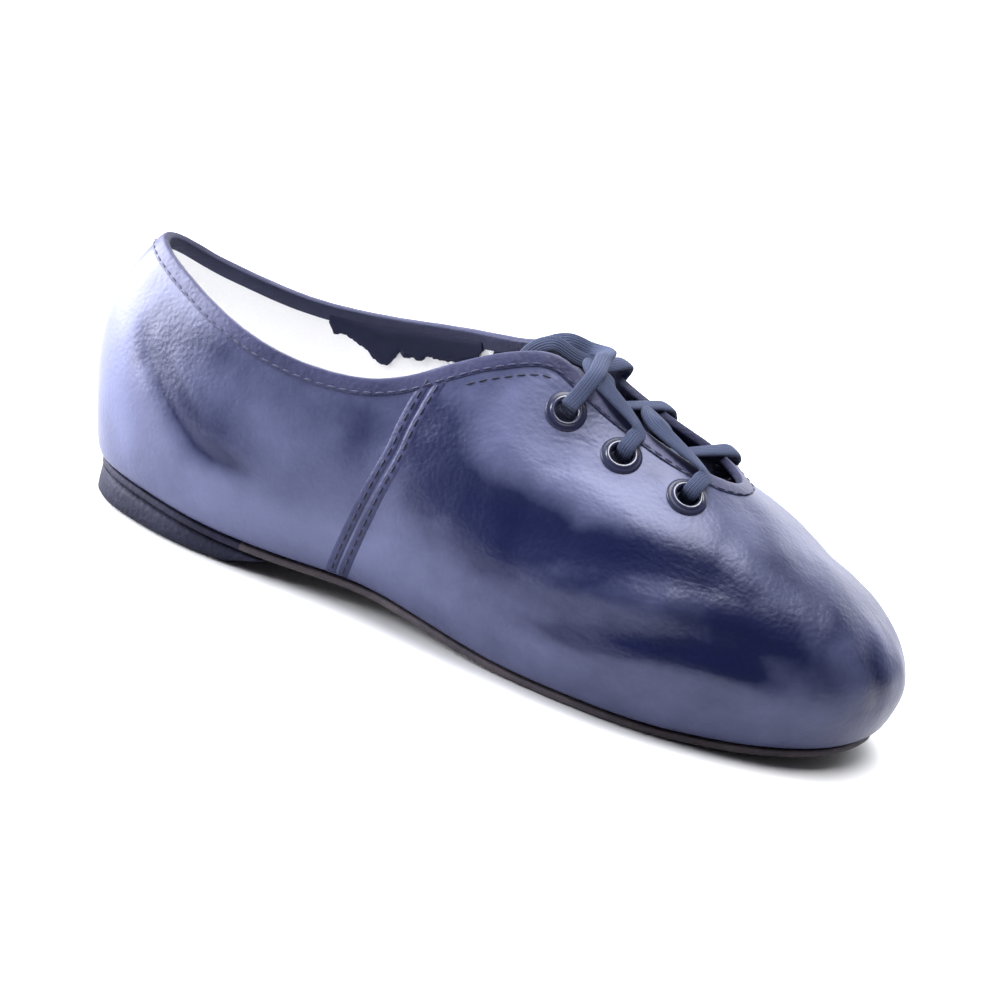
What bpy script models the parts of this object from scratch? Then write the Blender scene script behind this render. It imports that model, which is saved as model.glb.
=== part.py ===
# Jazz shoe for the right foot: a soft lace-up leather shoe with a thin full sole and a low
# rubber heel. +X runs from heel to toe, +Y to the inner (big toe) side and +Z up.
# The origin is on the floor under the middle of the heel.

import math
from functools import lru_cache

import bmesh
import bpy
import numpy as np
from mathutils import Matrix
from mathutils.bvhtree import BVHTree

MM = 0.001

# The last, the form that the upper is pulled over
SHOE_LENGTH = 212.0 * MM
SOLE_WIDTH = 66.0 * MM
UPPER_HEIGHT = 68.0 * MM
HEEL_LIFT = 7.6 * MM
TOE_SPRING = 5.0 * MM
HEEL_CENTRE = 29.0 * MM

# The bottom
SOLE_THICKNESS = 2.0 * MM
SOLE_MARGIN = 1.0 * MM
SOLE_EDGE_ROUND = 0.6 * MM
HEEL_FLAT_LENGTH = 44.0 * MM
HEEL_BREAST_RUN = 9.5 * MM
HEEL_BREAST_RISE = 0.35    # share of the rise that the front has made in the middle of its run
HEEL_LAST_STEP = 2.0 * MM
HEEL_LIP = 0.8 * MM
HEEL_SET_IN = 0.3 * MM
HEEL_EDGE_ROUND = 1.4 * MM
INSOLE_THICKNESS = 1.8 * MM
INSOLE_CLEARANCE = 0.8 * MM

# The upper and what is sewn to it
WALL = 1.5 * MM
LASTING_MARGIN = 8.0 * MM
FEATHER_ROUND = 3.2 * MM
GAP = 0.3 * MM
BINDING_WIDTH = 4.0 * MM
BINDING_THICKNESS = 0.6 * MM
TONGUE_THICKNESS = 1.4 * MM
TONGUE_HALF_WIDTH = 25.0 * MM
TONGUE_PAST_EYELETS = 9.0 * MM
TONGUE_CROWN = 0.2
TONGUE_SEWN_ROWS = 1.35    # how far past the throat's end it is sewn under the vamp, in rows
TONGUE_CORNERS = 13
# The tongue's free end: shares of TONGUE_PAST_EYELETS, and of its width, at each step of it
TONGUE_END = ((0.45, 0.97), (0.80, 0.84), (1.00, 0.62))

# The eyelets
EYELET_INSET = 9.4 * MM
EYELET_HOLE_RADIUS = 3.2 * MM
EYELET_SEAT_RADIUS = 4.2 * MM
EYELET_FLANGE_RADIUS = 5.0 * MM
EYELET_BORE_RADIUS = 2.55 * MM
EYELET_BARREL_WALL = 0.3 * MM
EYELET_FLANGE_THICKNESS = 0.7 * MM
EYELET_CLINCH_RADIUS = 3.8 * MM
EYELET_CLINCH_THICKNESS = 0.5 * MM
EYELET_SAG = 0.3 * MM
EYELET_SIDES = 14

# The lace. Places on a strand are shares of the way from one eyelet's row to the next.
LACE_DIAMETER = 2.8 * MM
LACE_OVERLAP = 1.0 * MM
LACE_STEPS = 2
LACE_ABOVE = 2.5 * GAP
LACE_BELOW = 3.5 * GAP
LACE_ON_TONGUE = 3 * GAP
LACE_PAST_EDGE = 0.6 * LACE_DIAMETER
STRAND_OFF_FLANGE = 0.10
STRAND_OVER_EDGE = 0.20
STRAND_UNDER_EDGE = 0.75
STRAND_UNDER_BINDING = 0.90
END_OFF_FLANGE = 0.06
END_OVER_EDGE = 0.10
TONGUE_CLEARANCE = LACE_DIAMETER + BINDING_THICKNESS + 5 * GAP

# The lace's ends pass through points given as offsets, in millimetres, from the middle of the
# tongue between the top eyelets
OUTER_END = (
    (3.0, -3.5, 7.0), (2.3, 2.0, 7.2), (-2.5, 4.5, 6.0), (-8.0, 3.0, 6.6), (-13.0, 1.5, 3.5),
    (-15.0, 1.0, -2.5),
)
INNER_END = (
    (1.0, 3.5, 3.3), (-3.5, -2.5, 4.8), (-9.0, -5.0, 6.8), (-13.5, -6.0, 3.5), (-15.5, -6.0, -2.5),
)

# One row for each section, from the middle of the heel's back to the toe tip. Places along the shoe
# are shares of SHOE_LENGTH, widths are shares of half SOLE_WIDTH and rises are shares of
# UPPER_HEIGHT above the bottom line. "lean" is the angle at which the wall leaves the sole's edge
# and "crown" the angle at which it falls away from its top edge, both in degrees from level.
# "belly" and "dome" are how far the wall keeps those two angles, as shares of its height and reach,
# and "steps" is the number of strips of mesh as far as the next row.
SECTION_COLUMNS = (
    "at", "outer", "inner", "top_at", "top_outer", "top_inner", "rise_outer", "rise_inner",
    "lean", "crown", "belly", "dome", "steps",
)
SECTIONS = (
    (0.032, 0.000, 0.000, 0.036, 0.000, 0.000, 0.815, 0.815, 76, 52, 0.36, 0.42, 3),
    (0.053, 0.370, 0.370, 0.048, 0.185, 0.185, 0.802, 0.797, 76, 52, 0.36, 0.42, 3),
    (0.106, 0.610, 0.600, 0.090, 0.400, 0.410, 0.762, 0.740, 74, 62, 0.38, 0.37, 3),
    (0.190, 0.775, 0.720, 0.175, 0.670, 0.690, 0.703, 0.695, 72, 72, 0.42, 0.31, 3),
    (0.290, 0.755, 0.620, 0.270, 0.740, 0.750, 0.675, 0.735, 72, 76, 0.42, 0.32, 3),
    (0.390, 0.690, 0.510, 0.370, 0.700, 0.700, 0.716, 0.800, 70, 70, 0.42, 0.36, 3),
    (0.480, 0.810, 0.640, 0.460, 0.550, 0.540, 0.900, 0.870, 67, 60, 0.42, 0.40, 3),
    (0.545, 0.890, 0.800, 0.528, 0.400, 0.400, 1.000, 0.990, 65, 54, 0.44, 0.44, 2),
    (0.590, 0.935, 0.900, 0.569, 0.360, 0.360, 0.958, 0.930, 64, 49, 0.44, 0.48, 3),
    (0.655, 0.985, 0.990, 0.640, 0.324, 0.324, 0.865, 0.858, 64, 36, 0.46, 0.50, 3),
    (0.715, 1.000, 1.000, 0.718, 0.312, 0.312, 0.793, 0.788, 64, 27, 0.46, 0.52, 3),
    (0.765, 0.965, 0.985, 0.758, 0.000, 0.000, 0.752, 0.752, 64, 6, 0.46, 0.54, 3),
    (0.820, 0.870, 0.940, 0.802, 0.000, 0.000, 0.687, 0.687, 64, 0, 0.46, 0.54, 3),
    (0.875, 0.730, 0.850, 0.845, 0.000, 0.000, 0.607, 0.607, 64, 0, 0.46, 0.54, 3),
    (0.922, 0.520, 0.680, 0.883, 0.000, 0.000, 0.550, 0.550, 65, 0, 0.45, 0.53, 3),
    (0.952, 0.250, 0.450, 0.911, 0.000, 0.000, 0.497, 0.497, 66, 0, 0.45, 0.53, 3),
    (0.965, -0.110, 0.110, 0.930, 0.000, 0.000, 0.450, 0.450, 66, 0, 0.45, 0.53, 0),
)
COLUMN = {name: i for i, name in enumerate(SECTION_COLUMNS)}
TABLE = np.array(SECTIONS, float)
LAST_ROW = len(SECTIONS) - 1
EYELET_ROWS = (8, 9, 10)
THROAT_END_ROW = EYELET_ROWS[-1] + 1
WALL_ROWS = 6
FALL_FADE_ROWS = 1.5

# The underside of the sole, as places along the shoe, lifts over the heel as shares of HEEL_LIFT
# and lifts over the toes as shares of TOE_SPRING
BOTTOM_LINE = (
    (0.00, 1.00, 0.00),
    (0.05, 0.98, 0.00),
    (0.14, 0.86, 0.00),
    (0.20, 0.71, 0.00),
    (0.25, 0.60, 0.00),
    (0.30, 0.55, 0.00),
    (0.36, 0.54, 0.00),
    (0.42, 0.51, 0.00),
    (0.49, 0.33, 0.00),
    (0.54, 0.15, 0.00),
    (0.59, 0.03, 0.00),
    (0.63, 0.00, 0.00),
    (0.74, 0.00, 0.00),
    (0.82, 0.00, 0.12),
    (0.92, 0.00, 0.52),
    (1.00, 0.00, 1.10),
)

OUTER, INNER = -1, 1
UP = np.array((0.0, 0.0, 1.0))


def unit(vector):
    return vector / np.linalg.norm(vector)


def along(share):
    """Place along the shoe of a share of its length."""
    return share * SHOE_LENGTH - HEEL_CENTRE


def bottom_share(x, column):
    """Smooth value of a column of BOTTOM_LINE that keeps its level stretches level."""
    table = np.array(BOTTOM_LINE)
    places, values = table[:, 0], table[:, column]
    at = np.clip((x + HEEL_CENTRE) / SHOE_LENGTH, places[0], places[-1])
    slopes = np.diff(values) / np.diff(places)
    before, after = slopes[:-1], slopes[1:]
    sums = np.where(before * after > 0, before + after, 1.0)
    inner_tangents = np.where(before * after > 0, 2 * before * after / sums, 0.0)
    tangents = np.concatenate([slopes[:1], inner_tangents, slopes[-1:]])
    i = min(int(np.searchsorted(places, at, side="right")) - 1, len(places) - 2)
    span = places[i + 1] - places[i]
    t = (at - places[i]) / span
    return float(
        (2 * t**3 - 3 * t**2 + 1) * values[i]
        + (t**3 - 2 * t**2 + t) * span * tangents[i]
        + (3 * t**2 - 2 * t**3) * values[i + 1]
        + (t**3 - t**2) * span * tangents[i + 1]
    )


def sole_underside(x):
    """Height of the sole's underside above the floor."""
    return bottom_share(x, 1) * HEEL_LIFT + bottom_share(x, 2) * TOE_SPRING


def upper_underside(x):
    """Height of the bottom line, on which the upper stands."""
    return sole_underside(x) + SOLE_THICKNESS + GAP


def cardinal(before, start, end, after, t):
    """Point between start and end on a smooth curve through four rows."""
    return 0.5 * (
        2 * start
        + (end - before) * t
        + (2 * before - 5 * start + 4 * end - after) * t**2
        + (3 * start - before - 3 * end + after) * t**3
    )


def smooth_round(rows, position):
    """Value at a fractional row of a closed round of rows."""
    i = math.floor(position)
    four = [rows[(i + k) % len(rows)] for k in (-1, 0, 1, 2)]
    return cardinal(*four, position - i)


def smooth_run(rows, position):
    """Value at a fractional row of an open run of rows."""
    longer = np.vstack([2 * rows[0] - rows[1], rows, 2 * rows[-1] - rows[-2]])
    i = min(int(position), len(rows) - 2)
    return cardinal(*longer[i : i + 4], position - i)


def round_of(outer_names, inner_names, last, width_column=None):
    """The rows of the outer side from heel to toe, then those of the inner side back again, with
    widths counted towards the inner side."""
    sides = []
    for names, side in ((outer_names, OUTER), (inner_names, INNER)):
        rows = TABLE[: last + 1, [COLUMN[name] for name in names]].copy()
        if width_column is not None:
            rows[:, width_column] *= side
        sides.append(rows)
    return np.vstack([sides[0], sides[1][-2:0:-1]])


FORM_NAMES = ("lean", "crown", "belly", "dome")
EDGE_NAMES = ("top_at", "top_outer", "rise_outer"), ("top_at", "top_inner", "rise_inner")
FEATHER = round_of(("at", "outer"), ("at", "inner"), LAST_ROW, width_column=1)
FORM = round_of(FORM_NAMES, FORM_NAMES, LAST_ROW)
EDGE = round_of(*EDGE_NAMES, THROAT_END_ROW, width_column=1)
RIDGE = TABLE[THROAT_END_ROW:, [COLUMN[name] for name in EDGE_NAMES[0]]]


def on_round(rows, side, row):
    """Value of a closed round at a fractional row of one side."""
    return smooth_round(rows, row if side == OUTER else len(rows) - row)


def feather_point(side, row):
    """Point of the feather line, the turn where the wall of the upper meets the sole."""
    at, width = on_round(FEATHER, side, row)
    x = along(at)
    return np.array((x, width * SOLE_WIDTH / 2, upper_underside(x)))


def outward(side, row):
    """Level direction square to the feather line."""
    step = 0.02
    run = feather_point(side, row + step) - feather_point(side, row - step)
    return unit(np.array((-run[1], run[0], 0.0))) * side


def top_point(side, row):
    """Point of the upper's top edge: the collar, then the throat, then the ridge over the toes."""
    if row <= THROAT_END_ROW:
        at, width, rise = on_round(EDGE, side, row)
    else:
        at, width, rise = smooth_run(RIDGE, row - THROAT_END_ROW)
    x = along(at)
    return np.array((x, width * SOLE_WIDTH / 2, upper_underside(x) + rise * UPPER_HEIGHT))


def ridge_fall(row):
    """Fall of the instep and the ridge towards the toe, as height over length. It fades out
    behind the eyelets."""
    first = EYELET_ROWS[0]
    centre = min(max(row, first + 0.5), LAST_ROW - 0.5)
    run = top_point(OUTER, centre + 0.5) - top_point(OUTER, centre - 0.5)
    fade = min(max((row - first) / FALL_FADE_ROWS + 1, 0.0), 1.0)
    return -run[2] / run[0] * fade


@lru_cache(maxsize=None)
def wall_line(side, row):
    """The outside of the wall at one section, as close points from its top edge to the feather
    line's round, with the length down to each."""
    foot, out, top = feather_point(side, row), outward(side, row), top_point(side, row)
    lean, crown, belly, dome = on_round(FORM, side, row)
    lean, crown = math.radians(lean), math.radians(crown)
    rise = out * math.cos(lean) + UP * math.sin(lean)
    foot = foot + FEATHER_ROUND * (out * math.sin(lean) + UP * (1 - math.cos(lean)))
    fall = math.sin(crown) + out[0] * ridge_fall(row) * math.cos(crown)
    down = unit(out * math.cos(crown) - UP * fall)
    handle_high = top + down * np.linalg.norm(top - foot) * dome
    handle_low = foot + rise * (top[2] - foot[2]) * belly
    t = np.linspace(0, 1, 81)[:, None]
    s = 1 - t
    points = top * s**3 + 3 * handle_high * s**2 * t + 3 * handle_low * s * t**2 + foot * t**3
    return lengths_along(points), points


def lengths_along(points):
    """Length along a line of points to each of them."""
    return np.concatenate([[0], np.cumsum(np.linalg.norm(np.diff(points, axis=0), axis=1))])


def point_along(lengths, points, length):
    return np.array([np.interp(length, lengths, points[:, k]) for k in range(3)])


def wall_point(side, row, depth):
    """Point on the outside of the wall at a length down from its top edge."""
    return point_along(*wall_line(side, row), depth)


def wall_frame(side, row, depth):
    """Point on the outside of the wall, its outward normal and the direction down the wall."""
    step, reach = 0.05, 0.5 * MM
    high = max(depth - reach, 0)
    down = unit(wall_point(side, row, high + 2 * reach) - wall_point(side, row, high))
    back = row if row == THROAT_END_ROW else row - step
    run = wall_point(side, row + step, depth) - wall_point(side, back, depth)
    return wall_point(side, row, depth), unit(np.cross(run, down)) * side, down


def off_wall(side, row, depth, height):
    """Point at a height above the outside of the wall. A negative depth lies past its top edge."""
    point, normal, down = wall_frame(side, row, max(depth, 0))
    return point + normal * height + down * min(depth, 0)


def section_line(side, row):
    """The points of the upper's mesh at one section: two even steps to the eyelet's height and one
    past it, then even steps to the feather line, its round, and the margin under the foot."""
    lengths, _ = wall_line(side, row)
    pitch = EYELET_INSET / 2
    depths = [i * pitch for i in range(4)]
    rest = (lengths[-1] - depths[-1]) / WALL_ROWS
    depths += [depths[-1] + rest * (i + 1) for i in range(WALL_ROWS)]
    points = [wall_point(side, row, depth) for depth in depths]
    foot, out = feather_point(side, row), outward(side, row)
    lean = math.radians(on_round(FORM, side, row)[0])
    for turn in (lean / 2, 0):
        lift = out * math.sin(turn) + UP * (1 - math.cos(turn))
        points.append(foot + FEATHER_ROUND * lift)
    for share in (0.5, 1.0):
        inside = foot - out * LASTING_MARGIN * share
        inside[2] = upper_underside(inside[0])
        points.append(inside)
    return points


def mesh_rows(first=0, last=LAST_ROW):
    """Fractional rows of the table at which there is a line of mesh."""
    rows = []
    for row in range(first, last):
        steps = int(TABLE[row, COLUMN["steps"]])
        rows += [row + i / steps for i in range(steps)]
    return rows + [last]


def round_trip(rows):
    """Sides and rows from heel to toe along the outer side and back along the inner side."""
    return [(OUTER, row) for row in rows] + [(INNER, row) for row in rows[-2:0:-1]]


def add_material(data, colour, roughness, metallic=0.0):
    material = bpy.data.materials.new(data.name)
    material.use_nodes = True
    shader = material.node_tree.nodes["Principled BSDF"]
    shader.inputs["Base Color"].default_value = (*colour, 1.0)
    shader.inputs["Roughness"].default_value = roughness
    shader.inputs["Metallic"].default_value = metallic
    data.materials.append(material)


def add_object(name, bm, *finish):
    """Object with the mesh in bm and a material of its own."""
    bmesh.ops.recalc_face_normals(bm, faces=bm.faces)
    mesh = bpy.data.meshes.new(name)
    bm.to_mesh(mesh)
    bm.free()
    mesh.shade_smooth()
    add_material(mesh, *finish)
    obj = bpy.data.objects.new(name, mesh)
    bpy.context.scene.collection.objects.link(obj)
    return obj


def new_line(bm, points):
    return [bm.verts.new(point) for point in points]


def loft(bm, lines):
    """Faces between each line of corners and the next. Lines that meet in a corner are allowed."""
    for a, b in zip(lines, lines[1:]):
        for i in range(len(a) - 1):
            corners = dict.fromkeys((a[i], a[i + 1], b[i + 1], b[i]))
            bm.faces.new(list(corners))


def open_eyelet_hole(bm, lines, column):
    """Opens the four faces round a corner of the mesh into a round hole, with the wall round it
    pressed flat. Returns the hole's centre, its direction up the wall and its outward normal."""
    hub = lines[column][2]
    order = ((-1, -1), (0, -1), (1, -1), (1, 0), (1, 1), (0, 1), (-1, 1), (-1, 0))
    ring = [lines[column + i][2 + j] for i, j in order]
    centre = hub.co.copy()
    up_wall = (ring[1].co - ring[5].co).normalized()
    normal = (ring[3].co - ring[7].co).cross(up_wall).normalized()
    across = up_wall.cross(normal)
    bmesh.ops.delete(bm, geom=[hub], context="VERTS")
    seat, rim = [], []
    for i, corner in enumerate(ring):
        corner.co -= normal * max((corner.co - centre).dot(normal), 0)
        turn = math.radians(45) * (i - 1)
        spoke = up_wall * math.cos(turn) + across * math.sin(turn)
        seat.append(bm.verts.new(centre + spoke * EYELET_SEAT_RADIUS))
        rim.append(bm.verts.new(centre + spoke * EYELET_HOLE_RADIUS))
    loft(bm, [loop + loop[:1] for loop in (ring, seat, rim)])
    return centre, up_wall, normal


def build_upper():
    """The upper: one sheet lofted round the foot, closed over the toes and given its wall.
    Returns the outside of the sheet and the seats of the eyelets."""
    bm = bmesh.new()
    trip = round_trip(mesh_rows())
    lines = [new_line(bm, section_line(side, row)) for side, row in trip]
    loft(bm, lines + lines[:1])
    seats = {
        (side, row): open_eyelet_hole(bm, lines, trip.index((side, row)))
        for side in (OUTER, INNER) for row in EYELET_ROWS
    }
    bmesh.ops.remove_doubles(bm, verts=bm.verts, dist=0.02 * MM)
    bmesh.ops.recalc_face_normals(bm, faces=bm.faces)
    sheet = BVHTree.FromBMesh(bm)
    upper = add_object("upper", bm, (0.10, 0.10, 0.20), 0.38)
    wall = upper.modifiers.new("wall", "SOLIDIFY")
    wall.thickness = WALL
    wall.offset = -1.0
    wall.use_even_offset = True
    return sheet, seats


def outline_point(side, row, margin, height):
    """Point outside the feather line by a margin, at a height above the sole's underside."""
    point = feather_point(side, row) + outward(side, row) * margin
    point[2] = sole_underside(point[0]) + height
    return point


def build_slab(name, margin, levels, *finish):
    """Flat piece with the foot's outline. levels holds an inset and a height for each loop round
    its edge, from the top to the underside."""
    bm = bmesh.new()
    trip = round_trip(mesh_rows())
    loops = [
        new_line(bm, [outline_point(side, row, margin - inset, height) for side, row in trip])
        for inset, height in levels
    ]
    loft(bm, [loop + loop[:1] for loop in loops])
    half = len(trip) // 2
    for loop in (loops[0], loops[-1]):
        loft(bm, [loop[: half + 1], loop[:1] + loop[: half - 1 : -1]])
    add_object(name, bm, *finish)


def build_outsole():
    edge, top = SOLE_EDGE_ROUND, SOLE_THICKNESS
    levels = ((edge / 2, top), (0, top - edge), (0, edge), (edge, 0))
    build_slab("outsole", SOLE_MARGIN, levels, (0.16, 0.11, 0.10), 0.65)


def build_insole():
    base = SOLE_THICKNESS + WALL + 2 * GAP
    levels = ((0, base + INSOLE_THICKNESS), (0, base))
    build_slab("insole", -INSOLE_CLEARANCE, levels, (0.86, 0.85, 0.86), 0.8)


def row_at(side, x):
    """Fractional row at which the feather line of one side passes a place along the shoe."""
    low, high = 0.0, float(LAST_ROW)
    for _ in range(30):
        middle = (low + high) / 2
        if feather_point(side, middle)[0] < x:
            low = middle
        else:
            high = middle
    return low


def heel_stops(side):
    """Rows of the heel's outline from its back to its lip, with the rise of its underside."""
    back = feather_point(side, 0)[0]
    flat_end = back + HEEL_FLAT_LENGTH
    lip = flat_end + HEEL_BREAST_RUN
    last = flat_end - HEEL_LAST_STEP
    stops = [(row, 0.0) for row in mesh_rows() if feather_point(side, row)[0] < last]
    breast = ((flat_end, 0.0), ((flat_end + lip) / 2, HEEL_BREAST_RISE), (lip, 1.0))
    return stops + [(row_at(side, x), rise) for x, rise in breast]


def heel_point(side, row, rise, inset, level):
    """Corner of the heel at its seat, at the top of its rounded lower edge or under it."""
    point = outline_point(side, row, SOLE_MARGIN - HEEL_SET_IN - inset, -GAP)
    seat = point[2]
    tread = (seat - HEEL_LIP) * rise
    point[2] = (seat, tread + min(HEEL_EDGE_ROUND, (seat - tread) / 2), tread)[level]
    return point


def build_heel():
    """The heel: its seat follows the sole, it is flat on the floor and its front runs out in a
    thin lip."""
    bm = bmesh.new()
    inner = [(INNER, *stop) for stop in heel_stops(INNER)]
    stops = inner[:0:-1] + [(OUTER, *stop) for stop in heel_stops(OUTER)]
    loops = []
    for level, inset in enumerate((0, 0, HEEL_EDGE_ROUND)):
        loops.append(new_line(bm, [heel_point(*stop, inset, level) for stop in stops]))
    loft(bm, [loop + loop[:1] for loop in loops])
    half = len(stops) // 2
    for loop in (loops[0], loops[-1]):
        loft(bm, [loop[half:], loop[half::-1]])
    add_object("heel", bm, (0.07, 0.07, 0.11), 0.6)


def edge_frame(side, row):
    """Point of the top edge, the outward normal there and the direction square to the edge, away
    from the opening."""
    step = 0.03
    edge = unit(top_point(side, row + step) - top_point(side, row - step))
    ahead = unit(top_point(side, THROAT_END_ROW + step) - top_point(side, THROAT_END_ROW))
    turn = min(max(row - EYELET_ROWS[-1], 0.0), 1.0)
    if row == THROAT_END_ROW:
        edge = np.array((0.0, -float(side), 0.0))
    _, _, down = wall_frame(side, min(row, THROAT_END_ROW - step), 0)
    away = down * (1 - turn) + ahead * turn
    away = unit(away - edge * np.dot(away, edge))
    return top_point(side, row), unit(np.cross(edge, away)) * side, away


def build_binding(sheet):
    """The strip folded over the whole top edge: a channel that clears the wall by GAP."""
    outer, inner = GAP, -(WALL + 2 * GAP)
    thick, width = BINDING_THICKNESS, BINDING_WIDTH
    profile = (
        (width, outer + thick), (0, outer + thick), (-GAP - thick, outer), (-GAP - thick, inner),
        (0, inner - thick), (width, inner - thick),
        (width, inner), (-GAP, inner), (-GAP, outer), (width, outer),
    )
    bm = bmesh.new()
    lines = []
    for side, row in round_trip(mesh_rows(0, THROAT_END_ROW)):
        top, normal, away = edge_frame(side, row)
        low, low_normal, _, _ = sheet.find_nearest(top + away * width)
        points = []
        for depth, height in profile:
            if depth == width:
                points.append(np.array(low) + np.array(low_normal) * height)
            else:
                points.append(top + away * depth + normal * height)
        line = new_line(bm, points)
        lines.append(line + line[:1])
    loft(bm, lines + lines[:1])
    add_object("collar_binding", bm, (0.06, 0.06, 0.14), 0.5)


def tongue_depth(row):
    """Depth of the tongue's top under the outside of the upper: sewn to the vamp at its front, and
    a lace's thickness under the binding at the eyelets."""
    start, end = EYELET_ROWS[-1], THROAT_END_ROW + 1
    t = min(max((end - row) / (end - start), 0), 1)
    return WALL + GAP + (TONGUE_CLEARANCE - GAP) * t * t * (3 - 2 * t)


def tongue_line(row, count):
    """Points across the top of the tongue at one section, from the outer to the inner side."""
    depth = tongue_depth(row)
    gap = top_point(INNER, row)[1] - top_point(OUTER, row)[1]
    laps = np.linspace(TONGUE_HALF_WIDTH - gap / 2, 0, 12)
    left = [off_wall(OUTER, row, lap, -depth) for lap in laps]
    right = [off_wall(INNER, row, lap, -depth) for lap in laps]
    handle = np.linalg.norm(right[-1] - left[-1]) * TONGUE_CROWN
    rise_left = left[-1] + unit(left[-1] - left[-2]) * handle
    rise_right = right[-1] + unit(right[-1] - right[-2]) * handle
    bridge = [
        left[-1] * (1 - t) ** 3 + 3 * rise_left * (1 - t) ** 2 * t
        + 3 * rise_right * (1 - t) * t**2 + right[-1] * t**3
        for t in (0.2, 0.4, 0.6, 0.8)
    ]
    points = np.array(left + bridge + right[::-1])
    lengths = lengths_along(points)
    return [point_along(lengths, points, m) for m in np.linspace(0, lengths[-1], count)]


def tongue_crest(row):
    """Middle of the top of the tongue at one section."""
    return tongue_line(row, 3)[1]


def build_tongue():
    """The tongue: sewn under the vamp ahead of the throat, with a rounded free end that stands out
    behind the eyelets."""
    rows = mesh_rows(EYELET_ROWS[0], THROAT_END_ROW + 1) + [THROAT_END_ROW + TONGUE_SEWN_ROWS]
    lines = [tongue_line(row, TONGUE_CORNERS) for row in rows]
    lengths = np.linspace(0, 1, TONGUE_CORNERS)
    back = unit(tongue_crest(rows[0]) - tongue_crest(rows[1])) * TONGUE_PAST_EYELETS
    first = np.array(lines[0])
    for share, width in TONGUE_END:
        marks = 0.5 + (lengths - 0.5) * width
        lines.insert(0, [point_along(lengths, first, mark) + back * share for mark in marks])
    bm = bmesh.new()
    loft(bm, [new_line(bm, line) for line in lines])
    tongue = add_object("tongue", bm, (0.08, 0.08, 0.17), 0.5)
    sheet = tongue.modifiers.new("sheet", "SOLIDIFY")
    sheet.thickness = TONGUE_THICKNESS
    sheet.offset = -1.0


def build_eyelet(name, centre, up_wall, normal):
    """Eyelet turned about its own axis, then set in its seat in the wall."""
    bore, barrel = EYELET_BORE_RADIUS, EYELET_BORE_RADIUS + EYELET_BARREL_WALL
    flange, thick = EYELET_FLANGE_RADIUS, EYELET_FLANGE_THICKNESS
    clinch_top = -(WALL + EYELET_SAG + GAP)
    clinch_low = clinch_top - EYELET_CLINCH_THICKNESS
    profile = (
        (bore, GAP + thick / 2), (bore + thick / 2, GAP + thick), (flange - thick, GAP + thick),
        (flange, GAP), (barrel, GAP), (barrel, clinch_top), (EYELET_CLINCH_RADIUS, clinch_top),
        (EYELET_CLINCH_RADIUS, clinch_low), (bore, clinch_low),
    )
    bm = bmesh.new()
    corners = [bm.verts.new((radius, 0, height)) for radius, height in profile]
    edges = [bm.edges.new(pair) for pair in zip(corners, corners[1:] + corners[:1])]
    bmesh.ops.spin(
        bm, geom=corners + edges, cent=(0, 0, 0), axis=(0, 0, 1), angle=math.tau,
        steps=EYELET_SIDES, use_merge=True,
    )
    bmesh.ops.remove_doubles(bm, verts=bm.verts, dist=0.01 * MM)
    eyelet = add_object(name, bm, (0.08, 0.08, 0.13), 0.3, 0.6)
    eyelet.location = centre
    eyelet.rotation_euler = Matrix((up_wall.cross(normal), up_wall, normal)).transposed().to_euler()


def lace_over(side, row, depth):
    """Middle of the lace where it lies over an eyelet or the binding."""
    under = EYELET_FLANGE_THICKNESS if depth > BINDING_WIDTH else BINDING_THICKNESS
    return off_wall(side, row, depth, under + LACE_ABOVE + LACE_DIAMETER / 2)


def lace_under(side, row, depth):
    """Middle of the lace where it lies under the binding."""
    under = WALL + BINDING_THICKNESS + LACE_BELOW
    return off_wall(side, row, depth, -(under + LACE_DIAMETER / 2))


def strand_route(side, low_row, high_row, lift):
    """Route of one strand: off its eyelet and over the throat's edge, across the tongue, and in
    under the other edge below the next eyelet."""
    step = high_row - low_row
    crest = tongue_crest(low_row + step / 2)
    return [
        lace_over(side, low_row, EYELET_INSET),
        lace_over(side, low_row + step * STRAND_OFF_FLANGE, EYELET_INSET / 2),
        lace_over(side, low_row + step * STRAND_OVER_EDGE, -LACE_PAST_EDGE),
        crest + UP * (LACE_ON_TONGUE + LACE_DIAMETER / 2 + lift),
        lace_under(-side, low_row + step * STRAND_UNDER_EDGE, -LACE_DIAMETER),
        lace_under(-side, low_row + step * STRAND_UNDER_BINDING, BINDING_WIDTH),
    ]


def add_lace(name, route):
    """Round lace on a smooth curve through the points of its route."""
    run = np.array(route)
    count = (len(run) - 1) * LACE_STEPS
    curve = bpy.data.curves.new(name, "CURVE")
    curve.dimensions = "3D"
    curve.bevel_depth = LACE_DIAMETER / 2
    curve.bevel_resolution = 2
    curve.use_fill_caps = True
    spline = curve.splines.new("POLY")
    spline.points.add(count)
    for i, spot in enumerate(spline.points):
        spot.co = (*smooth_run(run, i / LACE_STEPS), 1.0)
    add_material(curve, (0.11, 0.15, 0.26), 0.8)
    lace = bpy.data.objects.new(name, curve)
    bpy.context.scene.collection.objects.link(lace)
    return lace


def build_crossing(name, low_row, high_row):
    """Two strands of the lace, joined where one lies on the other."""
    lift = LACE_DIAMETER - LACE_OVERLAP
    over = add_lace(name, strand_route(OUTER, low_row, high_row, lift))
    under = add_lace(name + "_under", strand_route(INNER, low_row, high_row, 0.0))
    under.hide_render = True
    under.display_type = "WIRE"
    crossing = as_mesh(over)
    join = crossing.modifiers.new("join", "BOOLEAN")
    join.operation = "UNION"
    join.solver = "EXACT"
    join.object = as_mesh(under)


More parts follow.
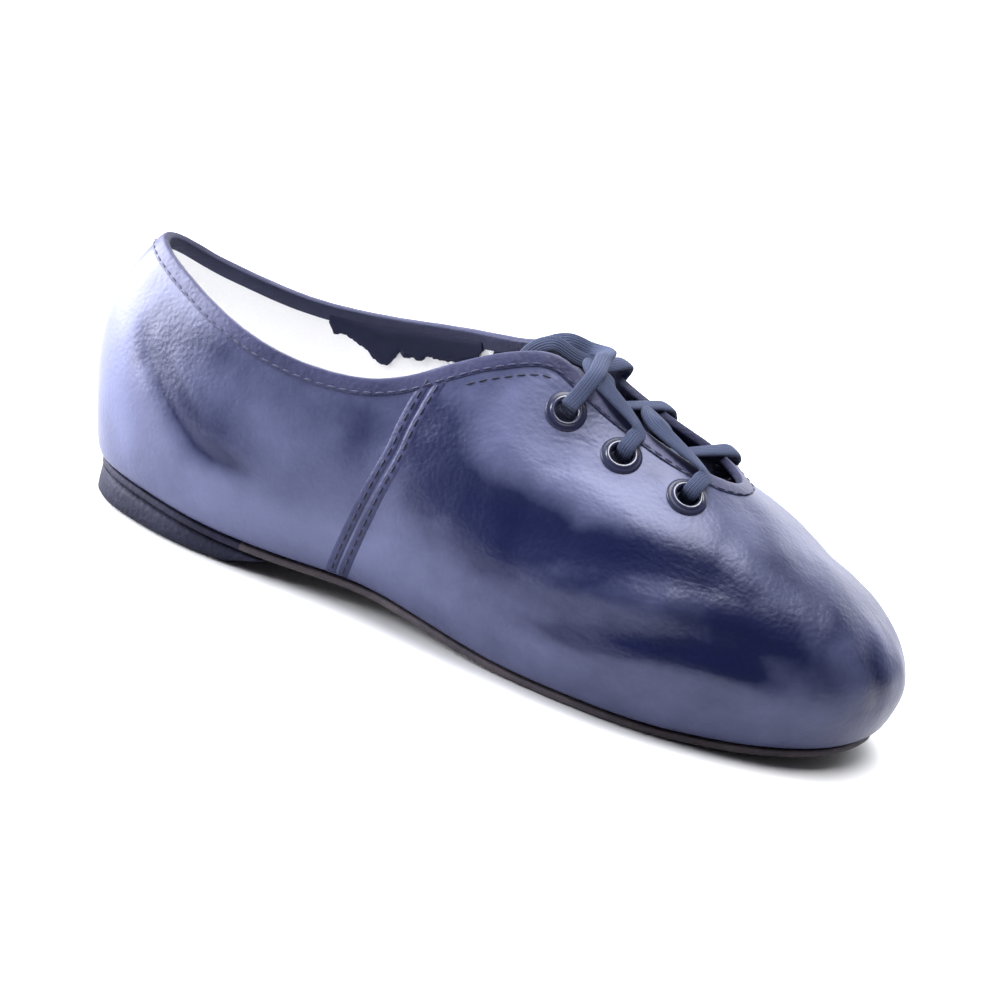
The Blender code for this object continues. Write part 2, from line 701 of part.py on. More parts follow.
def as_mesh(tube):
    """The same object with its curve turned into a mesh."""
    depsgraph = bpy.context.evaluated_depsgraph_get()
    mesh = bpy.data.meshes.new_from_object(tube.evaluated_get(depsgraph))
    name = tube.name
    solid = bpy.data.objects.new(name + "_mesh", mesh)
    solid.hide_render, solid.display_type = tube.hide_render, tube.display_type
    bpy.data.objects.remove(tube)
    solid.name = name
    bpy.context.scene.collection.objects.link(solid)
    return solid


def end_route(side, offsets):
    """Route of one end of the lace: from its top eyelet over the throat's edge, then through
    points at offsets from the middle of the tongue."""
    row = EYELET_ROWS[0]
    crest = tongue_crest(row)
    return [
        lace_over(side, row, EYELET_INSET),
        lace_over(side, row + END_OFF_FLANGE, EYELET_INSET / 2),
        lace_over(side, row + END_OVER_EDGE, -LACE_PAST_EDGE),
    ] + [crest + np.array(offset) * MM for offset in offsets]


for old in list(bpy.data.objects):
    bpy.data.objects.remove(old)

outside, eyelet_seats = build_upper()
build_outsole()
build_insole()
build_heel()
build_binding(outside)
build_tongue()
for label, lace_side in (("outer", OUTER), ("inner", INNER)):
    for number, eyelet_row in enumerate(EYELET_ROWS, 1):
        build_eyelet(f"eyelet_{label}_{number}", *eyelet_seats[lace_side, eyelet_row])
build_crossing("lace_crossing_high", EYELET_ROWS[1], EYELET_ROWS[0])
build_crossing("lace_crossing_low", EYELET_ROWS[2], EYELET_ROWS[1])
add_lace("lace_end_outer", end_route(OUTER, OUTER_END))
add_lace("lace_end_inner", end_route(INNER, INNER_END))
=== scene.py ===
import math

import bmesh
import bpy
import numpy as np
from mathutils import Matrix, Vector, noise
from mathutils.bvhtree import BVHTree
from mathutils.kdtree import KDTree


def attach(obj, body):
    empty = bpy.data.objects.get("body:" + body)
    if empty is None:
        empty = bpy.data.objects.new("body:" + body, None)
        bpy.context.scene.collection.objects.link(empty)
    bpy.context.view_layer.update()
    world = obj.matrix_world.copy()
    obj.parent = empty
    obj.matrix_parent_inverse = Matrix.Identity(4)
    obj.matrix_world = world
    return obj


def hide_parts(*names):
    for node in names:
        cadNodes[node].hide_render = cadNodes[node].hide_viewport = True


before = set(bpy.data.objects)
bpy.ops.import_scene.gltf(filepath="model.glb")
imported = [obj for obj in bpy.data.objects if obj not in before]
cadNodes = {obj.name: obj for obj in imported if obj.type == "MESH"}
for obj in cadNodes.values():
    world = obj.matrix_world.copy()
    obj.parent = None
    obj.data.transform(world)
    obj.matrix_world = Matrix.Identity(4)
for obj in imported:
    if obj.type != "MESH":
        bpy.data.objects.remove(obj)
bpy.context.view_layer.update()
mm = 0.001
outer, inner = -1, 1    # the side of the little toe and the side of the big toe
mergeWithin = 0.00001    # corners closer than this are one


# Working by hand: selecting, adding, finishing

def clearSelection():
    if bpy.context.mode != "OBJECT":
        bpy.ops.object.mode_set(mode="OBJECT")
    bpy.ops.object.select_all(action="DESELECT")


def pickUp(piece):
    clearSelection()
    piece.select_set(True)
    bpy.context.view_layer.objects.active = piece


# Edit mode with all of the piece selected, and out of it again
def openUp(piece):
    pickUp(piece)
    bpy.ops.object.mode_set(mode="EDIT")
    bpy.ops.mesh.select_all(action="SELECT")


def closeUp():
    bpy.ops.mesh.select_all(action="DESELECT")
    bpy.ops.object.mode_set(mode="OBJECT")


def turnOutwards(piece):
    openUp(piece)
    bpy.ops.mesh.normals_make_consistent(inside=False)
    closeUp()


# Adds a modifier and applies it
def useModifier(piece, kind, **values):
    pickUp(piece)
    made = piece.modifiers.new(kind.lower(), kind)
    for name, value in values.items():
        setattr(made, name, value)
    bpy.ops.object.modifier_apply(modifier=made.name)


def subdivide(piece, levels):
    useModifier(piece, "SUBSURF", levels=levels, render_levels=levels)


# A copy of a CAD node as a new piece, its corners merged and its faces made square again
def copyOfNode(node, name):
    piece = bpy.data.objects.new(name, cadNodes[node].data.copy())
    piece.data.name = name
    bpy.context.scene.collection.objects.link(piece)
    openUp(piece)
    bpy.ops.mesh.remove_doubles(threshold=mergeWithin)
    bpy.ops.mesh.tris_convert_to_quads(face_threshold=math.pi, shape_threshold=math.pi)
    closeUp()
    piece.data.materials.clear()
    return piece


def newPiece(name, verts, faces):
    clearSelection()
    mesh = bpy.data.meshes.new(name)
    mesh.from_pydata([tuple(v) for v in verts], [], faces)
    piece = bpy.data.objects.new(name, mesh)
    bpy.context.scene.collection.objects.link(piece)
    return piece


# Faces of a closed tube: rows of corners, as many in each, with a cap at both ends
def tubeFaces(rows, count):
    faces = []
    for k in range(rows - 1):
        for i in range(count):
            j = (i + 1) % count
            faces.append((k * count + i, k * count + j, (k + 1) * count + j, (k + 1) * count + i))
    faces.append(tuple(range(count - 1, -1, -1)))
    faces.append(tuple((rows - 1) * count + i for i in range(count)))
    return faces


# The last step of each piece: its material, its place in the frame, what it stands for
def settle(piece, material, replaced=(), smooth=True):
    if material is not None:
        piece.data.materials.clear()
        piece.data.materials.append(material)
    if smooth:
        piece.data.shade_smooth()
    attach(piece, "root")
    if replaced:
        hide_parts(*replaced)
    return piece


# The place of each corner, or with "normal" the way that it faces
def cornersOf(piece, what="co"):
    flat = np.empty(len(piece.data.vertices) * 3)
    piece.data.vertices.foreach_get(what, flat)
    return flat.reshape(-1, 3)


def moveCorners(piece, corners):
    piece.data.vertices.foreach_set("co", np.ascontiguousarray(corners).ravel())
    piece.data.update()


def paintOn(piece, name, values):
    layer = piece.data.attributes.new(name, "FLOAT", "POINT")
    layer.data.foreach_set("value", values)


def unit(rows):
    return rows / np.linalg.norm(rows, axis=1)[:, None]


# How far along a line each of its points lies
def alongLine(line):
    return np.concatenate([[0], np.cumsum(np.linalg.norm(np.diff(line, axis=0), axis=1))])


# Points read off a line, whose own points lie at known, at other places along it
def readAt(places, known, line):
    return np.array([np.interp(places, known, line[:, k]) for k in range(3)]).T


# Camera: the photo's own angle to the shoe, rolled because it is shown with its toe tipped down

cameraSet = {
    "around": 15.0, "above": 17.5, "roll": 15.4, "distance": 0.700,
    "aim": (0.077, 0.0, 0.025), "lens": 106.09, "shift": (0.004, 0.020),
}


def setCamera():
    a, e = math.radians(cameraSet["around"]), math.radians(cameraSet["above"])
    right = Vector((math.cos(a), math.sin(a), 0))
    up = Vector((-math.sin(a) * math.sin(e), math.cos(a) * math.sin(e), math.cos(e)))
    back = Vector((math.sin(a) * math.cos(e), -math.cos(a) * math.cos(e), math.sin(e)))
    turn = math.radians(cameraSet["roll"])
    across = right * math.cos(turn) + up * math.sin(turn)
    above = up * math.cos(turn) - right * math.sin(turn)
    place = Matrix((across, above, back)).transposed().to_4x4()
    place.translation = Vector(cameraSet["aim"]) + back * cameraSet["distance"]
    data = bpy.data.cameras.new("camera")
    data.sensor_width, data.lens = 36.0, cameraSet["lens"]
    data.shift_x, data.shift_y = cameraSet["shift"]
    data.clip_start, data.clip_end = 0.01, 60.0
    camera = bpy.data.objects.new("camera", data)
    bpy.context.scene.collection.objects.link(camera)
    camera.matrix_world = place
    bpy.context.scene.camera = camera


setCamera()
print("camera set")


# Materials

def newMaterial(name):
    material = bpy.data.materials.new(name)
    material.use_nodes = True
    return material, material.node_tree, material.node_tree.nodes["Principled BSDF"]


# Gives each socket a plain value, or a link from a node and its output
def feed(node, sockets):
    for name, source in sockets.items():
        if isinstance(source, tuple) and isinstance(source[0], bpy.types.Node):
            node.id_data.links.new(source[0].outputs[source[1]], node.inputs[name])
        else:
            node.inputs[name].default_value = source


# A node at its place in the editor, with its settings and what feeds its sockets
def addNode(tree, kind, place, sockets=None, **settings):
    made = tree.nodes.new(kind)
    made.location = place
    for name, value in settings.items():
        setattr(made, name, value)
    feed(made, sockets or {})
    return made


def addMath(tree, operation, place, *sources, **settings):
    sockets = dict(enumerate(sources))
    return addNode(tree, "ShaderNodeMath", place, sockets, operation=operation, **settings), 0


def addMix(tree, place, amount, dark, light):
    sockets = {"Factor": amount, "A": (*dark, 1.0), "B": (*light, 1.0)}
    return addNode(tree, "ShaderNodeMix", place, sockets, data_type="RGBA"), "Result"


def addDents(tree, place, height, strength, distance):
    sockets = {"Height": height, "Strength": strength, "Distance": distance}
    return addNode(tree, "ShaderNodeBump", place, sockets), "Normal"


# Pebbled grain, soft pores and streaky crinkles as a Height, and a Mottle that drifts slowly
def grainGroup():
    tree = bpy.data.node_groups.new("leatherGrain", "ShaderNodeTree")
    wanted = (
        ("Grain scale", 900.0), ("Pore depth", 0.4), ("Crinkle scale", 150.0), ("Crinkle depth", 1.0),
        ("Mottle scale", 60.0),
    )
    for name, value in wanted:
        socket = tree.interface.new_socket(name, in_out="INPUT", socket_type="NodeSocketFloat")
        socket.default_value = value
    for name in ("Height", "Mottle"):
        tree.interface.new_socket(name, in_out="OUTPUT", socket_type="NodeSocketFloat")
    start = addNode(tree, "NodeGroupInput", (-1100, 0))
    where = addNode(tree, "ShaderNodeTexCoord", (-1100, -300)), "Object"
    half = addMath(tree, "MULTIPLY", (-850, 100), (start, "Grain scale"), 0.9)
    streaks = addNode(tree, "ShaderNodeMapping", (-850, -250), {
        "Vector": where, "Rotation": (0.0, 0.45, 0.0), "Scale": (0.45, 1.0, 1.3),
    })
    cells = addNode(tree, "ShaderNodeTexVoronoi", (-600, 300), {
        "Vector": where, "Scale": (start, "Grain scale"), "Smoothness": 0.6,
    }, feature="SMOOTH_F1")
    fine = addNode(tree, "ShaderNodeTexNoise", (-600, 0), {"Vector": where, "Scale": half, "Detail": 4.0})
    crinkles = addNode(tree, "ShaderNodeTexNoise", (-600, -250), {
        "Vector": (streaks, "Vector"), "Scale": (start, "Crinkle scale"), "Detail": 3.0, "Distortion": 0.6,
    })
    slow = addNode(tree, "ShaderNodeTexNoise", (-600, -550), {
        "Vector": where, "Scale": (start, "Mottle scale"), "Detail": 5.0, "Roughness": 0.6,
    })
    folded = addMath(tree, "SUBTRACT", (-400, -250), (crinkles, "Fac"), 0.5)
    ridges = addMath(tree, "ABSOLUTE", (-250, -250), folded)
    deeper = addMath(tree, "MULTIPLY", (-100, -250), ridges, (start, "Crinkle depth"))
    pores = addMath(tree, "MULTIPLY", (-300, 300), (cells, "Distance"), (start, "Pore depth"))
    fainter = addMath(tree, "MULTIPLY", (-300, 0), (fine, "Fac"), 0.45)
    grain = addMath(tree, "ADD", (-50, 150), pores, fainter)
    mixed = addMath(tree, "ADD", (200, 50), grain, deeper)
    addNode(tree, "NodeGroupOutput", (600, 0), {"Height": mixed, "Mottle": (slow, "Fac")})
    return tree


leatherGrain = grainGroup()
leatherSet = {
    "dents": 0.0005, "mottle": (0.3, 0.7), "paintedLightMottle": (0.28, 0.62), "paintedLightShows": 0.5, "paintedLightDulls": 0.055,
    "tint": (0.74, 0.76, 1.0, 1.0),
}


# Leather from dark to light by its mottle and, when asked, by the painted light and shade that the piece
# carries as its own attribute
def leatherMaterial(name, dark, light, roughness, grain, crinkle, shine, paintedLight=False):
    material, tree, shader = newMaterial(name)
    skin = addNode(tree, "ShaderNodeGroup", (-900, 0), {"Crinkle depth": crinkle}, node_tree=leatherGrain)
    mottle, (low, high) = (skin, "Mottle"), leatherSet["mottle"]
    share = addNode(tree, "ShaderNodeMapRange", (-650, 150), {
        "Value": mottle, "From Min": low, "From Max": high,
    })
    gloss = addNode(tree, "ShaderNodeMapRange", (-400, -50), {
        "Value": mottle, "To Min": roughness[0], "To Max": roughness[1],
    })
    amount, dull = (share, "Result"), (gloss, "Result")
    # the piece's painted light and shade lightens or darkens its colour and also sets its roughness
    if paintedLight:
        low, high = leatherSet["paintedLightMottle"]
        bent = addNode(tree, "ShaderNodeAttribute", (-1150, 0), attribute_name="wrinkled")
        paintedLightAmount = addNode(tree, "ShaderNodeAttribute", (-900, 350), attribute_name="paintedLight"), "Fac"
        shows, dulls = leatherSet["paintedLightShows"], leatherSet["paintedLightDulls"]
        feed(skin, {"Crinkle depth": (bent, "Fac")})
        feed(share, {"To Min": low, "To Max": high})
        amount = addMath(tree, "MULTIPLY_ADD", (-650, 350), paintedLightAmount, shows, amount, use_clamp=True)
        dull = addMath(tree, "MULTIPLY_ADD", (-250, -50), paintedLightAmount, dulls, dull, use_clamp=True)
    feed(shader, {
        "Base Color": addMix(tree, (-250, 200), amount, dark, light),
        "Roughness": dull,
        "Normal": addDents(tree, (-300, -300), (skin, "Height"), grain, leatherSet["dents"]),
        "Specular IOR Level": shine,
        "Specular Tint": leatherSet["tint"],
    })
    return material


clothSet = {"dents": 0.0003, "darkShare": 0.92}


def clothMaterial(name, base, thread=1400.0, roughness=0.85, bump=0.3, shine=0.5):
    material, tree, shader = newMaterial(name)
    where = addNode(tree, "ShaderNodeTexCoord", (-900, 0)), "Object"
    weave = addNode(tree, "ShaderNodeTexNoise", (-700, 0), {"Vector": where, "Scale": thread}), "Fac"
    darker = [c * clothSet["darkShare"] for c in base]
    feed(shader, {
        "Base Color": addMix(tree, (-400, 200), weave, darker, base),
        "Roughness": roughness,
        "Normal": addDents(tree, (-300, -300), weave, bump, clothSet["dents"]),
        "Specular IOR Level": shine,
    })
    return material


# How often the threads repeat along the lace and round it, and how deep they lie
weaveSet = {"along": 46.0, "around": 75.4, "bump": 0.8, "dents": 0.00025, "roughness": 0.85}


# A flat woven lace: slanted threads that cross, from the lace's own lengthwise and round places
def laceMaterial(name, dark, light):
    material, tree, shader = newMaterial(name)
    where = addNode(tree, "ShaderNodeUVMap", (-1100, 0), uv_map="weave")
    parts = addNode(tree, "ShaderNodeSeparateXYZ", (-900, 0), {"Vector": (where, "UV")})
    along = addMath(tree, "MULTIPLY", (-700, 100), (parts, "X"), weaveSet["along"])
    around = addMath(tree, "MULTIPLY", (-700, -100), (parts, "Y"), weaveSet["around"])
    one = addMath(tree, "SINE", (-400, 100), addMath(tree, "ADD", (-550, 100), along, around))
    two = addMath(tree, "SINE", (-400, -100), addMath(tree, "SUBTRACT", (-550, -100), along, around))
    both = addMath(tree, "MULTIPLY", (-250, 0), one, two)
    height = addNode(tree, "ShaderNodeMapRange", (-100, 0), {"Value": both, "From Min": -1.0}), "Result"
    feed(shader, {
        "Base Color": addMix(tree, (50, 200), height, dark, light),
        "Roughness": weaveSet["roughness"],
        "Normal": addDents(tree, (50, -200), height, weaveSet["bump"], weaveSet["dents"]),
    })
    return material


def enamelMaterial(name, colour, roughness, shine):
    material, _, shader = newMaterial(name)
    feed(shader, {"Base Color": (*colour, 1.0), "Roughness": roughness, "Specular IOR Level": shine})
    return material


# Dark and light colour, roughness from and to, depth of grain, crinkle, shine, and whether it carries
# painted light and shade
leathers = {
    "upperLeather": ((0.003, 0.005, 0.030), (0.086, 0.095, 0.180), (0.33, 0.48), 0.22, 0.0, 0.42, True),
    "seamLeather": ((0.006, 0.008, 0.034), (0.030, 0.033, 0.082), (0.40, 0.54), 0.4, 0.6, 0.34),
    "bindingLeather": ((0.008, 0.009, 0.034), (0.032, 0.034, 0.082), (0.42, 0.58), 0.35, 1.0, 0.42),
    # a darker, rougher copy of the binding leather: painted shade on the binding's inner side
    "bindingShaded": ((0.006, 0.007, 0.024), (0.018, 0.020, 0.052), (0.6, 0.75), 0.5, 1.0, 0.42),
    "vampBack": ((0.006, 0.006, 0.020), (0.015, 0.015, 0.045), (0.7, 0.85), 0.4, 0.0, 0.42),
    # the tongue's leather is darker than the upper's, as painted shade where it lies in the throat under the
    # laces
    "tongueShadedLeather": ((0.004, 0.005, 0.020), (0.016, 0.017, 0.050), (0.5, 0.65), 0.4, 0.5, 0.42),
    "soleEdge": ((0.022, 0.019, 0.024), (0.070, 0.057, 0.060), (0.6, 0.75), 0.5, 0.0, 0.3),
    "soleDark": ((0.006, 0.006, 0.014), (0.018, 0.018, 0.034), (0.6, 0.75), 0.5, 0.0, 0.2),
    "heelRubber": ((0.006, 0.006, 0.015), (0.018, 0.019, 0.036), (0.6, 0.75), 0.6, 0.0, 0.2),
}
looks = {name: leatherMaterial(name, *values) for name, values in leathers.items()}
whiteLining = clothMaterial("whiteLining", (0.97, 0.97, 0.98), bump=0.15)
# dark cloth for the sheet that stands in for the shade inside the collar
collarShadeCloth = clothMaterial("collarShadeCloth", (0.011, 0.013, 0.036), 1600.0, shine=0.2)
seamThread = clothMaterial("seamThread", (0.006, 0.007, 0.026), 2500.0, 0.7)
paleThread = clothMaterial("paleThread", (0.024, 0.026, 0.068), 2500.0, 0.7)
laceCotton = laceMaterial("laceCotton", (0.012, 0.019, 0.052), (0.034, 0.050, 0.115))
eyeletEnamel = enamelMaterial("eyeletEnamel", (0.010, 0.012, 0.034), 0.35, 0.28)
eyeletMetal = enamelMaterial("eyeletMetal", (0.018, 0.020, 0.046), 0.24, 0.65)
print("materials made")


# Leather upper: the CAD's outer skin with its creases pressed in, then given its wall again

upperSet = {
    "levels": 2, "wall": 0.0015,
    "calmEdge": (0.0015, 0.006), "calmSole": (0.006, 0.011),    # where the creases fade in
    "lumps": ((80.0, 0.00022), (190.0, 0.00012)),    # scale and height of the unevenness
    "heelLumps": 0.45, "lumpsFrom": (0.03, 0.07),
    "crinkle": (0.30, 1.75), "crinkleFrom": (0.045, 0.085), "toeCalm": 0.65, "toeFrom": (0.125, 0.155),
    "liningStops": ((59.3, 56.0), (49.7, 6.5)),    # x and z of a line down the side, in millimetres
}

# Each crease: points in millimetres, half width and height (troughs are negative)
creases = (
    # the outer side of the vamp, from under the eyelets down to the sole
    (((66, -27, 50), (76, -28.5, 49), (90, -30, 47), (105, -30, 45), (120, -28.5, 44.5),
      (132, -25, 44.5)), 6, 0.7),
    (((70, -31, 40), (85, -33.5, 39), (98, -35, 37), (112, -35.5, 36.5), (126, -34, 37),
      (140, -29, 37.5), (152, -24, 35.5)), 5, -0.8),
    (((100, -38.5, 27.5), (112, -38.8, 28.5), (125, -37.5, 30.5), (138, -33, 32.5)), 5, 0.6),
    (((96, -38.4, 20), (105.6, -39, 20.5), (119.8, -39.6, 22.8), (132.8, -37.6, 25.2),
      (141.3, -34.6, 26.5), (150, -30.5, 26), (159, -26, 23.5)), 4.6, -0.75),
    (((98, -38.6, 14), (105.6, -38.9, 14.6), (119.8, -39.9, 17), (132.8, -38.4, 19.4), (141.3, -36, 20),
      (150, -32.6, 19.5), (160, -28, 16.5)), 2.5, 0.6),
    (((108, -38.5, 12), (133, -37.5, 13), (155, -30.5, 14.5), (168, -22, 14)), 5, 0.3),
    (((106, -38.8, 25), (116, -38.6, 26), (128, -37.5, 26.5)), 1.7, -0.22),
    (((112, -36.5, 33), (124, -35, 34), (134, -32.5, 33.5)), 1.8, -0.22),
    (((78, -32.5, 37), (88, -34.5, 35), (99, -36, 33)), 2, -0.25),
    # across the front of the throat, and the dent beside the toe
    (((133, -7, 51.5), (139.5, -11.5, 48), (145, -17.3, 43.5), (149, -23, 38)), 5, -0.35),
    (((170.5, -9, 32.5), (174.9, -10.1, 27), (177.7, -10, 19.3), (177.2, -11.1, 15.6)), 3.8, -0.5),
    (((167.7, -14.8, 31.8), (172.4, -16.4, 24.1), (173.2, -17.4, 16)), 3, 0.2),
    # diagonal folds on the outer side of the heel
    (((-13.8, -19, 45.6), (-8.8, -22.8, 40.4), (-2.5, -26.2, 35.6), (4, -28.8, 30.8), (10.4, -30.6, 27),
      (16.7, -31, 25.4), (23.8, -30.7, 25)), 2.1, -0.75),
    (((-7, -22.4, 43.4), (-1.4, -25.5, 39.6), (4.2, -27.9, 35.7), (10.1, -29.9, 31.8)), 1.8, -0.35),
    (((-12, -21.5, 38), (-5, -26.5, 32), (3, -29.5, 25.5), (10, -31, 20)), 3.5, 0.45),
    # small wrinkles round the eyelets
    (((84, -17, 65.8), (88.5, -16, 66.8), (92, -14.6, 66.4)), 2.6, 0.35),
    (((90.3, -28.4, 48.6), (97.8, -25.6, 50.6)), 1.6, -0.25),
    (((96, -27, 50), (107, -26.6, 48), (114.2, -25.9, 47.5)), 2, 0.25),
    (((100, -22, 54), (98, -19, 56.5)), 1.8, -0.25),
    (((115.5, -22, 51.5), (114.5, -18, 54)), 1.8, -0.25),
    # the inner side, which the photo doesn't show
    (((64, 26, 47), (84, 29.5, 44), (104, 31, 42), (124, 28, 43)), 5.5, 0.5),
    (((62, 27.5, 40), (82, 31.5, 35), (104, 35, 33), (124, 36, 34), (142, 30, 35)), 5.5, -0.7),
    (((96, 34.5, 19), (120, 37.5, 20), (142, 36, 22), (158, 30, 22)), 3.5, -0.6),
    (((-9, 22, 41), (0, 26, 35), (10, 28, 29), (20, 27, 24)), 2.6, -0.5),
)

# Painted light and shade on the upper, darker where it lies in shade and paler where light falls: points,
# half width and strength
paintedLightStrokes = (
    # the dark middle of the vamp, its darkest band and the fold under it
    (((61, -22, 56.5), (61.5, -26.5, 49), (63, -29.8, 40.5), (65.5, -31.8, 34),
      (69.5, -33.5, 28)), 5.5, -0.95),
    (((64.5, -23.5, 56.5), (68, -27, 50), (71, -31, 41), (74, -34, 31)), 5.5, -0.6),
    (((73, -32, 40.5), (80, -33, 40.5), (92, -34.5, 40), (104, -34.8, 38.5)), 5.5, -0.75),
    (((75.4, -34.2, 33.5), (84, -35.4, 32.5), (92, -37, 29)), 5.5, -0.7),
    (((72, -34.4, 28.5), (84, -36.4, 27), (96.8, -38.4, 25.5), (112.2, -38.6, 29.5),
      (122, -37, 32.5)), 4.5, -0.4),
    (((76, -27, 52), (79.5, -29.8, 47.5), (88, -31.6, 44.5)), 4.5, 0.35),
    (((76, -31.5, 40), (92, -36, 33), (108, -37.5, 30), (126, -36.5, 31), (142, -31, 31),
      (156, -24, 30)), 10, -0.45),
    (((76, -31, 42), (84.8, -33.5, 39.5), (96, -36, 36.5), (110.8, -35.5, 37.5), (124.4, -33, 38.5),
      (137.4, -28.5, 38.5), (149.2, -24, 36.5)), 4.5, -0.6),
    (((104, -33.5, 40.5), (116, -32.5, 40.5), (128, -30, 41), (138, -25.5, 41.5)), 4, -0.5),
    (((97, -38.5, 16.5), (105.6, -38.9, 17), (119.8, -39.8, 19.4), (132.8, -38, 22), (141.3, -35.4, 23),
      (150, -31.8, 22.5), (158, -28, 20.5)), 2.3, -1.3),
    (((97, -38.3, 20.5), (105.6, -38.9, 21), (119.8, -39.4, 23.4), (132.8, -37.4, 26.4),
      (141.3, -33.6, 29.6)), 4, -0.45),
    (((147, -27.5, 34), (152, -27.5, 30.5), (158, -26, 27), (165, -23, 23.5), (171, -18, 20)), 5, -0.7),
    (((150, -24, 36), (158, -21.5, 32.5), (166, -17.5, 29.5)), 5, -0.45),
    (((144, -30, 36), (146, -31.5, 30), (147.5, -33, 24)), 4.5, -0.8),
    # the top and the tip of the toe, and the dent beside it
    (((143, -19, 43), (150, -15, 42.5), (159, -13, 38), (168, -9, 33)), 7, -0.6),
    (((170, -12, 30), (176.4, -10.4, 24), (178, -10, 18)), 4.5, -0.75),
    (((148, -8, 46.5), (157, -3, 43), (166, 0, 37.5), (173, 0, 31)), 6, -0.3),
    (((176.5, -8.5, 25), (177.4, -10, 20), (176.8, -11.5, 15), (176.5, -10, 11)), 7, -0.28),
    # painted highlight under the eyelets
    (((80, -24, 57), (92, -26, 52), (106, -26, 49), (122, -23, 47.5)), 6, 0.55),
    (((76, -22, 60.5), (84, -17, 65.5), (93, -14.5, 66)), 3, 0.5),
    # painted shade from the laces, between the eyelets and ahead of the throat
    (((95.5, -17.5, 60), (97, -13.5, 63.5)), 3.2, -0.5),
    (((114.5, -19, 53.2), (116.8, -15, 55.8)), 3, -0.5),
    (((126.5, -26.5, 44.5), (131, -24, 45)), 4, -0.5),
    (((130.5, -6, 53.3), (136, -5, 51.5), (141, -7, 49), (143, -12.5, 46.8)), 5, -0.3),
    # the low side, the quarter and the heel
    (((138, -37, 21), (147.3, -33.2, 22.5), (154.8, -30.8, 20.5)), 3.2, -0.45),
    (((49.5, -25, 49.5), (47.5, -27.5, 41), (46.4, -29, 32)), 5, -0.5),
    (((-16.5, -17, 49), (-8, -19.5, 50), (4.3, -23.4, 49.5), (14, -26, 47.5)), 5, -0.9),
    (((-15.4, -19.2, 45), (-12, -22.3, 37.5)), 3, -0.8),
    (((8, -30, 20.5), (14.2, -30.8, 20.5), (22, -30.8, 19)), 3, 0.5),
    (((84, -36, 14), (110, -38.8, 12), (135, -37, 13), (160, -27, 14)), 5, -0.1),
    (((2, -27, 45), (20, -30, 40), (38, -30, 34), (50, -30.5, 22)), 9, 0.25),
    (((20, -29, 48), (36, -29, 46), (52, -28.5, 46)), 4, -0.3),
    (((6, -30.5, 16), (40, -29, 15), (66, -31, 16)), 7, 1.1),
    (((-26, -8, 50), (-28, -8, 32), (-27, -10, 18)), 11, 1.4),
    (((-22, -14, 46), (-15.5, -22, 29), (-8, -26, 15)), 7, 1),
    (((-12, -20, 46), (-2.5, -26.2, 36.5), (10.4, -30.6, 27.6), (23.8, -30.7, 25)), 2, -1.5),
    (((-13, -18, 51), (-8, -21, 47), (-1, -25, 41), (6, -28, 36), (15, -30, 31),
      (26, -31, 28)), 4.5, -0.45),
    (((-7, -22.4, 43.4), (4.2, -27.9, 35.7), (10.1, -29.9, 31.8)), 1.5, -0.7),
    (((-28, 6, 45), (-24, 16, 30)), 14, 0.9),
    # the inner side, which the photo doesn't show
    (((64, 28, 40), (100, 34, 35), (132, 32, 36)), 10, -0.6),
)


def treeOf(piece):
    mesh = bmesh.new()
    mesh.from_mesh(piece.data)
    tree = BVHTree.FromBMesh(mesh)
    mesh.free()
    return tree


def softStep(values, start, end):
    t = np.clip((values - start) / (end - start), 0, 1)
    return t * t * (3 - 2 * t)


def unevenness(corners, scale):
    return np.array([noise.noise(Vector(p) * scale) for p in corners])


# What all the strokes of a table add up to at each corner
def strokes(corners, table):
    total = np.zeros(len(corners))
    for points, width, height in table:
        line = np.array(points) * mm
        runs = np.linalg.norm(np.diff(line, axis=0), axis=1)
        starts = np.concatenate([[0], np.cumsum(runs)])
        nearest = np.full(len(corners), np.inf)
        place = np.zeros(len(corners))
        for a, b, start, run in zip(line, line[1:], starts, runs):
            t = np.clip((corners - a) @ (b - a) / run**2, 0, 1)
            off = np.linalg.norm(corners - (a + t[:, None] * (b - a)), axis=1)
            closer = off < nearest
            nearest[closer] = off[closer]
            place[closer] = (start + t * run)[closer]
        fade = softStep(place, -0.15 * starts[-1], 0.25 * starts[-1])
        fade *= softStep(starts[-1] - place, -0.15 * starts[-1], 0.25 * starts[-1])
        total += height * fade * np.exp(-((nearest / (width * mm)) ** 2))
    return total


# The open edges of a sheet as loops of corner numbers, the longest first
def edgeLoops(piece):
    mesh = bmesh.new()
    mesh.from_mesh(piece.data)
    mesh.verts.ensure_lookup_table()
    left = dict.fromkeys(e for e in mesh.edges if e.is_boundary)    # in order, so that each run starts alike
    loops = []
    while left:
        edge, _ = left.popitem()
        loop = [edge.verts[0], edge.verts[1]]
        while True:
            follow = [e for e in loop[-1].link_edges if e in left]
            if not follow:
                break
            del left[follow[0]]
            loop.append(follow[0].other_vert(loop[-1]))
        loops.append([v.index for v in loop[:-1]])
    mesh.free()
    return sorted(loops, key=len, reverse=True)


# Ahead of the side seam the inside is the dark back of the leather
def splitLining(upper):
    high, low = (Vector((x, 0, z)) * mm for x, z in upperSet["liningStops"])
    ahead = (high - low).cross(Vector((0, -1, 0))).normalized()
    openUp(upper)
    bpy.ops.mesh.bisect(plane_co=low, plane_no=ahead)
    closeUp()
    upper.data.materials.append(looks["vampBack"])
    for face in upper.data.polygons:
        if face.material_index == 1 and (face.center - low).dot(ahead) > 0:
            face.material_index = 2


